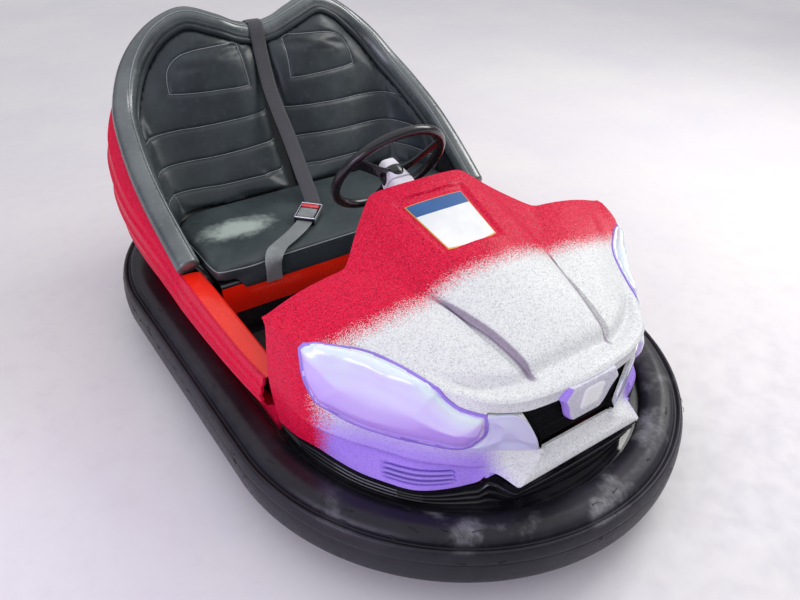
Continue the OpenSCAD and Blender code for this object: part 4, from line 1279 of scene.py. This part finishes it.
def make_dash():
    ss = both_ways(np.linspace(0, WING - 2, 60))
    p, n = cowl_frame(ss, 0 * ss + 0.12)
    top = p - (SKIN_T + 0.0025) * n
    low = xyz(top[:, 0], -0.352, 0.335)
    ts = np.linspace(0, 1, 19)
    outer = np.stack([top + t * (low - top) for t in ts])
    mid_x = (outer[:-1, :-1, 0] + outer[1:, 1:, 0]) / 2
    slot = (np.abs(mid_x) < 0.036) & (ts[:-1, None] > 0.15) & (ts[:-1, None] < 0.66)
    shape = sheet(outer, outer - (0, DASH_T, 0), ~slot)
    piece("dash_board", shape, "dash_black", stands_for="dash_panel")


make_liner()
make_seat_base()
make_mat()
make_pedal()
make_dash()

# Steering wheel and column, in the column's own frame: origin at the wheel's middle, +Z towards the driver
WHEEL_AT = (0, -0.069, 0.611)
COLUMN_TILT = 32.8
column_frame = Matrix.Translation(WHEEL_AT) @ Matrix.Rotation(math.radians(COLUMN_TILT - 90), 4, "X")
WHEEL_RIM_R = 0.151
WHEEL_GRIP_R = 0.0125
WHEEL_HUB = [(0.0001, -0.044), (0.028, -0.044), (0.033, -0.041), (0.034, -0.036), (0.034, -0.014),
             (0.032, -0.009), (0.027, -0.006), (0.018, -0.0042), (0.0001, -0.0036)]
SPOKE_FROM = 0.024


def make_wheel():
    a, b = turns(24), turns(20)
    profile = np.stack([WHEEL_RIM_R + WHEEL_GRIP_R * np.cos(a), WHEEL_GRIP_R * np.sin(a)], -1)
    parts = [lathe(profile, 120), lathe(WHEEL_HUB, 64)]
    flat_x, flat_y = (np.sign(f(b)) * np.abs(f(b)) ** 0.6 for f in (np.cos, np.sin))
    rows = []
    for t in np.linspace(0, 1, 15):
        z = -0.0185 + 0.0165 * smooth(t * 1.05 - 0.1)
        wide, thick = 0.0145 + 0.004 * (2 * t - 1) ** 2, 0.0035 + 0.001 * (1 - t)
        r = SPOKE_FROM + t * (WHEEL_RIM_R - 0.002 - SPOKE_FROM)
        rows.append(xyz(r, wide * flat_x, z + thick * flat_y))
    parts += [placed(loops(rows), Matrix.Rotation(math.radians(turn), 4, "Z")) for turn in (90, 210, 330)]
    piece("wheel_rim_and_spokes", placed(joined(parts), column_frame), "wheel_black", body="steering",
          stands_for="steering_wheel", sharp=50)


def make_column():
    low = 0.02 - (0.381 - 0.045) / math.cos(math.radians(COLUMN_TILT))
    profile = ((-0.0500, 0.0125), (-0.0495, 0.0300), (-0.0505, 0.0325), (-0.054, 0.034), (-0.11, 0.036),
               (-0.13, 0.0200), (low, 0.0192))
    shape = placed(squircle_post(profile, CORNER_POWER, 40), column_frame)
    piece("column_housing", shape, "column_grey", stands_for="steering_tube")


def make_boss():
    profile = ((-0.0465, 0.012), (-0.0465, 0.0310), (-0.045, 0.0330), (-0.020, 0.0285), (0.012, 0.0215),
               (0.0165, 0.0200), (0.0180, 0.0165), (0.0180, 0.004))
    piece("wheel_boss", placed(squircle_post(profile, 4, 48), column_frame), "column_grey", body="steering")


make_wheel()
make_boss()
make_column()


# Wheels: ribbed tread on each tyre
TYRE_R = 0.100
TREAD_RIBS = 5


def make_tyre(name, node, body, at, width):
    half = width / 2
    wall = ((0.0622, 0), (0.078, 0), (0.088, 0.0005), (0.0945, 0.002), (0.098, 0.005), (0.0995, 0.009))
    line = [(r, z - half) for r, z in wall]
    marks = np.linspace(0.011 - half, half - 0.011, TREAD_RIBS + 1)
    for k, (z0, z1) in enumerate(zip(marks, marks[1:])):
        line += [(TYRE_R, z0 + 0.0008), (TYRE_R, z1 - 0.0028)]
        if k < TREAD_RIBS - 1:
            line += [(TYRE_R - 0.003, z1 - 0.0022), (TYRE_R - 0.003, z1 - 0.0002)]
    line += [(r, half - z) for r, z in wall[::-1]]
    shape = lathe(line, 96, Matrix.Translation((*at, TYRE_R)) @ Matrix.Rotation(math.pi / 2, 4, "Y"))
    piece(name, shape, "wheel_rubber", body=body, stands_for=node, sharp=30)


make_tyre("drive_tread", "drive_tyre", "drive_wheel", (0, -0.450), 0.060)
for name, side in SIDES.items():
    make_tyre("rear_tread_" + name, "rear_tyre_" + name, "rear_wheel_" + name, (side * 0.330, 0.450), 0.050)


# Soft seat: pads that are remeshed, swollen by a cloth simulation and then sewn
def read(values, key, kind=np.float32, wide=3):
    """One property of all parts of a mesh, as rows."""
    got = np.empty(len(values) * wide, kind)
    values.foreach_get(key, got)
    return got.reshape(-1, wide)


def coordinates(mesh):
    return read(mesh.vertices, "co").astype(float)


def vertex_normals(mesh):
    return read(mesh.vertex_normals, "vector").astype(float)


PAD_VOXEL = 0.0068
PAD_PRESSURE = 4.0
PAD_FRAMES = 20


def set_coordinates(mesh, co):
    mesh.vertices.foreach_set("co", np.asarray(co, np.float32).ravel())
    mesh.update()


def applied(obj, modifier):
    bpy.ops.object.select_all(action="DESELECT")
    obj.select_set(True)
    bpy.context.view_layer.objects.active = obj
    bpy.ops.object.modifier_apply(modifier=modifier.name)


def remeshed(obj):
    made = obj.modifiers.new("remesh", "REMESH")
    made.mode, made.voxel_size, made.use_smooth_shade = "VOXEL", PAD_VOXEL, True
    applied(obj, made)


def swollen(obj, held, cap):
    """Runs a pressure cloth on the mesh with the held points pinned, and caps how far any point moves."""
    rest = coordinates(obj.data)
    group = obj.vertex_groups.new(name="held")
    group.add([int(i) for i in np.flatnonzero(held)], 1.0, "REPLACE")
    cloth = obj.modifiers.new("cloth", "CLOTH")
    settings = cloth.settings
    settings.use_pressure = True
    settings.uniform_pressure_force = PAD_PRESSURE
    settings.effector_weights.gravity = 0
    settings.vertex_group_mass = "held"
    settings.quality = 4
    settings.tension_stiffness = settings.compression_stiffness = 12
    settings.bending_stiffness = 1.2
    scene.frame_start, scene.frame_end = 1, PAD_FRAMES
    for f in range(1, PAD_FRAMES + 1):
        scene.frame_set(f)
    result = obj.evaluated_get(bpy.context.evaluated_depsgraph_get()).to_mesh()
    moved = coordinates(result) - rest
    obj.modifiers.remove(cloth)
    scene.frame_set(1)
    far = np.linalg.norm(moved, axis=1, keepdims=True)
    moved *= np.minimum(1, cap / np.maximum(far, 1e-9))
    set_coordinates(obj.data, rest + moved)


def softened(obj, rounds):
    """Evens out the points of a mesh with their neighbours."""
    edges = read(obj.data.edges, "vertices", np.int32, 2)
    co = coordinates(obj.data)
    count = np.maximum(np.bincount(edges.ravel(), minlength=len(co)), 1)[:, None]
    for _ in range(rounds):
        total = np.zeros_like(co)
        np.add.at(total, edges[:, 0], co[edges[:, 1]])
        np.add.at(total, edges[:, 1], co[edges[:, 0]])
        co = 0.5 * co + 0.5 * total / count
    set_coordinates(obj.data, co)


def subdivided(obj):
    made = obj.modifiers.new("subdivision", "SUBSURF")
    made.levels = made.render_levels = 1
    applied(obj, made)
    obj.data.shade_smooth()


def line_distance(points, line):
    """Distance in a plane of each point from a polyline."""
    best = np.full(len(points), 9.0)
    for a, b in zip(line[:-1], line[1:]):
        d = b - a
        t = np.clip(((points - a) @ d) / max(d @ d, 1e-12), 0, 1)
        best = np.minimum(best, np.linalg.norm(points - a - t[:, None] * d, axis=1))
    return best


# Seams of the backrest, as places (x, z) in a view from the front on the +X side
SEAMS = ((0.566, -0.012), (0.481, -0.010), (0.399, 0.004))
PANEL = [(0.071, 0.650), (0.150, 0.651), (0.240, 0.652), (0.309, 0.654), (0.3155, 0.657), (0.316, 0.664),
         (0.313, 0.690), (0.300, 0.722), (0.268, 0.750), (0.225, 0.762), (0.170, 0.767), (0.120, 0.768),
         (0.083, 0.767), (0.077, 0.761), (0.074, 0.700), (0.071, 0.650)]
PAD_FROM = 1.8
PAD_TO = 11.72
PAD_OFF = 0.0071
PAD_EDGE_T = 0.004
PAD_T = 0.034
PAD_CAP = 0.006
SEAM_WELT_R = 0.0011
PANEL_WELT_R = 0.0010


def seam_z(seam, x):
    return seam[0] + seam[1] * np.clip((np.abs(x) - 0.10) / 0.34, 0, 1)


WELT_LIFT = 0.0002


def tree_of(obj):
    return BVHTree.FromObject(obj, bpy.context.evaluated_depsgraph_get())


def hit(tree, start, way):
    """Place that a ray meets first, lifted by a hair, or None."""
    at, normal, _, _ = tree.ray_cast(Vector(start), Vector(way))
    return None if at is None else np.array(at) + WELT_LIFT * np.array(normal)


def make_backrest(name, side):
    us = steps((PAD_FROM, 6.5, 44), (6.5, PAD_TO, 65))
    bs = [np.linspace(0.998, 0.9, 8), np.linspace(0.88, 0.08, 44), np.linspace(0.06, 0.03, 4)]
    inner_end = np.sin(0.5 * np.pi * np.clip((PAD_TO + 0.02 - us) / 0.7, 0, 1)) ** 0.5
    body = (0.26 + 0.74 * smooth((us - 3.6) / 4.2)) * smooth((us - PAD_FROM + 0.25) / 0.8) * inner_end
    back, front = [], []
    for b in np.concatenate(bs):
        p, out = shell_at(us, 0 * us + b), rim_out(us)
        thick = PAD_EDGE_T + PAD_T * body * (1 - b ** 18)
        back.append((p - PAD_OFF * out) * (side, 1, 1))
        front.append((p - (PAD_OFF + thick)[:, None] * out) * (side, 1, 1))
    back = np.stack(back)
    shape = sheet(np.stack(front), back)
    obj = piece("backrest_pad_" + name, shape, "seat_vinyl", stands_for="backrest_" + name, sharp=180)
    remeshed(obj)
    faces = grid_quads(np.arange(back.size // 3).reshape(back.shape[:2]))
    behind = BVHTree.FromPolygons(back.reshape(-1, 3).tolist(), faces.reshape(-1, 4).tolist())
    held = np.array([behind.find_nearest(Vector(p))[3] < PAD_CAP for p in coordinates(obj.data)])
    swollen(obj, held, PAD_CAP)
    softened(obj, 3)
    subdivided(obj)
    co, n = coordinates(obj.data), vertex_normals(obj.data)
    towards = unit(np.array([0, 0.10, 0]) - co * (1, 1, 0))
    in_front = smooth(((n * towards).sum(-1) - 0.05) / 0.2)
    sink = np.zeros(len(co))
    for seam in SEAMS:
        away = np.abs(co[:, 2] - seam_z(seam, co[:, 0]))
        sink += 0.0038 * hump(away, 0.005) + 0.0012 * hump(away, 0.016)
    panel = spline(PANEL, 200) * (side, 1)
    away = line_distance(co[:, [0, 2]], panel)
    sink += (0.003 * hump(away, 0.005) + 0.0012 * hump(away, 0.014)) * (n[:, 1] < -0.2)
    set_coordinates(obj.data, co - (sink * in_front)[:, None] * n)
    tree = tree_of(obj)
    welts = []
    for seam in SEAMS:
        hits = []
        for turn in np.linspace(0.03, 1.62, 150):
            way, z = (side * math.sin(turn), math.cos(turn), 0), seam[0]
            for _ in range(3):
                at = hit(tree, (0, 0.12, z), way)
                if at is None:
                    break
                z = float(seam_z(seam, at[0]))
            if at is not None and (not hits or np.linalg.norm(at - hits[-1]) < 0.03):
                hits.append(at)
        welts.append(tube(hits, SEAM_WELT_R, 6))
    around = [hit(tree, (x, -0.2, z), (0, 1, 0)) for x, z in panel]
    welts.append(tube([at for at in around if at is not None], PANEL_WELT_R, 6))
    # Pale welts: painted highlight along the seams
    piece("backrest_welts_" + name, joined(welts), "seam_highlight", sharp=180)


CUSHION_HALF = 0.441
CUSHION_NOSE = 0.026
CUSHION_DROP = 0.040
CUSHION_BACK_Y = 0.4239
CUSHION_CAP = 0.005
CUSHION_WELT_R = 0.0017


def cushion_outline(inset):
    w, back = CUSHION_HALF - inset, CUSHION_BACK_Y - inset
    front = CUSHION_FRONT_Y - CUSHION_NOSE + inset
    half = [(0, front), (0.2, front), (w - 0.06, front), (w - 0.012, front + 0.006), (w, front + 0.03),
            (w, 0.2), (w, 0.33), (w - 0.030, 0.385), (0.8 * w, back - 0.006), (0.57 * w, back), (0.2, back),
            (0, back)]
    right = spline(half, 160)
    return np.concatenate([right, (right * (-1, 1))[-2:0:-1]])


def make_cushion():
    low, high = SEAT_Z + 0.0005, SEAT_Z + CUSHION_T
    rings = []
    for inset, z in ((0.10, low), (0.02, low), (0.004, low + 0.002), (0.001, low + 0.010),
                     (0.001, high - 0.010), (0.004, high - 0.003), (0.012, high), (0.05, high + 0.001),
                     (0.12, high + 0.002)):
        x, y = cushion_outline(inset).T
        nose = smooth((CUSHION_FRONT_Y - 0.004 - y) / 0.018) * smooth((0.395 - np.abs(x)) / 0.03)
        depth = CUSHION_DROP * nose * (1 - smooth((z - low) / (high - low)))
        rings.append(xyz(x, y, z - depth))
    obj = piece("seat_cushion_pad", loops(rings), "cushion_vinyl", stands_for="seat_cushion",
                sharp=180)
    remeshed(obj)
    co = coordinates(obj.data)
    held = (co[:, 2] < low + 0.004) & (co[:, 1] > CUSHION_FRONT_Y)
    swollen(obj, held, CUSHION_CAP)
    softened(obj, 2)
    subdivided(obj)
    tree = tree_of(obj)
    hits = [tree.ray_cast(Vector((x, y, 0.6)), Vector((0, 0, -1)))[0] for x, y in cushion_outline(0.0065)]
    hits = np.array([at for at in hits if at is not None and at.z > high - 0.02]) + (0, 0, 0.0004)
    for _ in range(12):
        hits[:, 2] = (np.roll(hits[:, 2], 1) + hits[:, 2] + np.roll(hits[:, 2], -1)) / 3
    welt = tube(hits, CUSHION_WELT_R, 8, closed=True)
    # Pale welt: painted highlight along the cushion's edge seam
    piece("cushion_welt", welt, "seam_highlight", sharp=180)


make_cushion()
for name, side in SIDES.items():
    make_backrest(name, side)


# Seat belts
def ribbon(points, ways, thick):
    """Flat strap with rounded edges along a smooth line; ways are the directions across it."""
    place = np.linspace(0, len(points) - 1, 120)
    line, across_way = along(points, place), unit(along(ways, place))
    up = unit(np.cross(unit(np.gradient(line, axis=0)), across_way))
    t = np.linspace(-1, 1, 13)
    round_off = np.sqrt(np.clip(1 - np.abs(t) ** 8, 0, 1))
    middle = line[:, None] + 0.5 * STRAP_WIDTH * t[None, :, None] * across_way[:, None]
    off = (0.5 * thick * round_off)[None, :, None] * up[:, None]
    return sheet(middle + off, middle - off)


STRAP_WIDTH = 0.046
CUSHION_TOP = SEAT_Z + CUSHION_T
BUCKLE_AT = (-0.104, 0.186, CUSHION_TOP + 0.019)
BUCKLE_TURN = -46
BUCKLE_PITCH = 5


def make_belts():
    t = CUSHION_TOP
    line = [(0, 0.7225, 0.803), (0, 0.712, 0.8085), (0, 0.690, 0.8135), (-0.002, 0.664, 0.800),
            (-0.006, 0.635, 0.735), (-0.011, 0.580, 0.640), (-0.011, 0.525, 0.574), (-0.012, 0.455, 0.504),
            (-0.026, 0.370, 0.447), (-0.044, 0.285, 0.408), (-0.062, 0.232, t + 0.023),
            (-0.080, 0.212, t + 0.020)]
    k = np.linspace(0, 1, len(line)) ** 3
    ways = unit(xyz(1 - 0.30 * k, -0.71 * k, 0))
    piece("shoulder_strap", ribbon(line, ways, 0.0026), "belt_web", stands_for="shoulder_belt", sharp=60)
    line = [(-0.122, 0.166, t + 0.019), (-0.140, 0.150, t + 0.017), (-0.170, 0.128, t + 0.0155),
            (-0.208, 0.104, t + 0.0145), (-0.246, 0.082, t + 0.0135), (-0.272, 0.062, t + 0.010),
            (-0.285, 0.048, t - 0.004), (-0.288, 0.0435, t - 0.024), (-0.288, 0.0440, SEAT_Z - 0.022)]
    ways = [(0.70, -0.71, 0), (0.64, -0.77, 0), (0.56, -0.83, 0), (0.50, -0.86, 0), (0.56, -0.82, 0),
            (0.72, -0.65, -0.2), (0.95, -0.25, -0.1), (1, 0, 0), (1, 0, 0)]
    strap = ribbon(line, ways, 0.0028)
    piece("lap_strap", strap, "belt_pale", stands_for="lap_belt", sharp=60)


def make_buckle():
    base = (Matrix.Translation(BUCKLE_AT) @ Matrix.Rotation(math.radians(BUCKLE_TURN), 4, "Z")
            @ Matrix.Rotation(math.radians(BUCKLE_PITCH), 4, "X"))

    def block(size, radius, at=(0, 0, 0)):
        return placed(rounded_box(size, radius), base @ Matrix.Translation(at))

    body = block((0.062, 0.078, 0.022), 0.004)
    piece("buckle_body", body, "buckle_black", stands_for="belt_buckle")
    parts = [block((0.004, 0.080, 0.015), 0.0015, (x, 0.004, 0.004)) for x in (-0.0305, 0.0305)]
    parts += [block((0.062, 0.005, 0.006), 0.002, (0, y, 0.011)) for y in (0.042, -0.034)]
    piece("buckle_frame", joined(parts), "buckle_metal")
    button = block((0.050, 0.014, 0.006), 0.002, (0, 0.027, 0.0125))
    piece("buckle_button", button, "buckle_red")
    face = block((0.050, 0.044, 0.004), 0.0018, (0, -0.007, 0.0115))
    piece("buckle_face", face, "belt_pale")


make_belts()
make_buckle()


# Carried-over nodes
CARRIED = {
    "frame_black": ("rim_band", "frame_rails", "cross_members", "drive_bridge", "steering_box",
                    "drive_fork"),
    "deck_black": ("floor_pan",),
    "bare_steel": ("rear_axle", "steering_shaft"),
    "motor_paint": ("drive_motor",),
    "hub_metal": ("drive_hub", "rear_hub_left", "rear_hub_right"),
    "battery_case": ("battery_pack",),
    "socket_black": ("charge_socket",)}
for look, names in CARRIED.items():
    for name in names:
        nodes[name].data.materials.clear()
        nodes[name].data.materials.append(LOOKS[look])


# Floor, light
FLOOR_HALF = 30.0


def make_stage():
    look = Look("floor", (0.80, 0.77, 0.84), 0.55)
    wide, fine = look.noise(0.9, 5.0, 0.6), look.noise(14.0, 6.0, 0.65)
    color = look.mix(look.range(wide, 0.3, 0.7), (0.73, 0.70, 0.75), (0.79, 0.77, 0.77))
    color = look.mix(look.range(fine, 0.45, 0.75, 0, 0.4), color, (0.68, 0.65, 0.69))
    rough = look.range(fine, 0.3, 0.7, 0.45, 0.65)
    mesh = bpy.data.meshes.new("floor")
    corners = [(x * FLOOR_HALF, y * FLOOR_HALF, 0) for x, y in ((-1, -1), (1, -1), (1, 1), (-1, 1))]
    mesh.from_pydata(corners, [], [(0, 1, 2, 3)])
    mesh.materials.append(look.use(color=color, normal=look.bump(fine, 0.05, 0.003), rough=rough))
    floor = bpy.data.objects.new("floor", mesh)
    scene.collection.objects.link(floor)


def area_light(name, at, aim, size, power, color):
    data = bpy.data.lights.new(name, "AREA")
    data.shape, data.size, data.size_y = "RECTANGLE", size[0], size[1]
    data.energy, data.color = power, color
    light = bpy.data.objects.new(name, data)
    light.location = at
    light.rotation_mode = "QUATERNION"
    light.rotation_quaternion = (Vector(aim) - Vector(at)).to_track_quat("-Z", "Y")
    scene.collection.objects.link(light)


WORLD_LOW = 0.12
WORLD_HIGH = 1.0
BACKDROP_LEVEL = 0.62


def make_light():
    world = bpy.data.worlds.new("studio")
    scene.world = world
    world.use_nodes = True
    tree = world.node_tree
    back = tree.nodes["Background"]
    way = tree.nodes.new("ShaderNodeTexCoord")
    axes = tree.nodes.new("ShaderNodeSeparateXYZ")
    tree.links.new(way.outputs["Generated"], axes.inputs[0])
    level = tree.nodes.new("ShaderNodeMapRange")
    level.interpolation_type = "SMOOTHSTEP"
    tree.links.new(axes.outputs[2], level.inputs[0])
    for k, value in ((1, 0.0), (2, 0.85), (3, WORLD_LOW), (4, WORLD_HIGH)):
        level.inputs[k].default_value = value
    rays = tree.nodes.new("ShaderNodeLightPath")
    shown = tree.nodes.new("ShaderNodeMix")
    tree.links.new(rays.outputs["Is Camera Ray"], shown.inputs[0])
    tree.links.new(level.outputs[0], shown.inputs[2])
    shown.inputs[3].default_value = BACKDROP_LEVEL
    tree.links.new(shown.outputs[0], back.inputs[1])
    back.inputs[0].default_value = (0.96, 0.965, 1.0, 1)
    area_light("key", (3.0, -0.1, 2.6), (0, 0, 0.3), (1.7, 1.7), 62, (1.0, 0.985, 0.95))
    area_light("fill_left", (-2.3, -1.0, 0.9), (0, -0.2, 0.3), (1.6, 0.9), 20, (0.80, 0.72, 1.0))


make_stage()
make_light()
scene.view_settings.view_transform = "Standard"
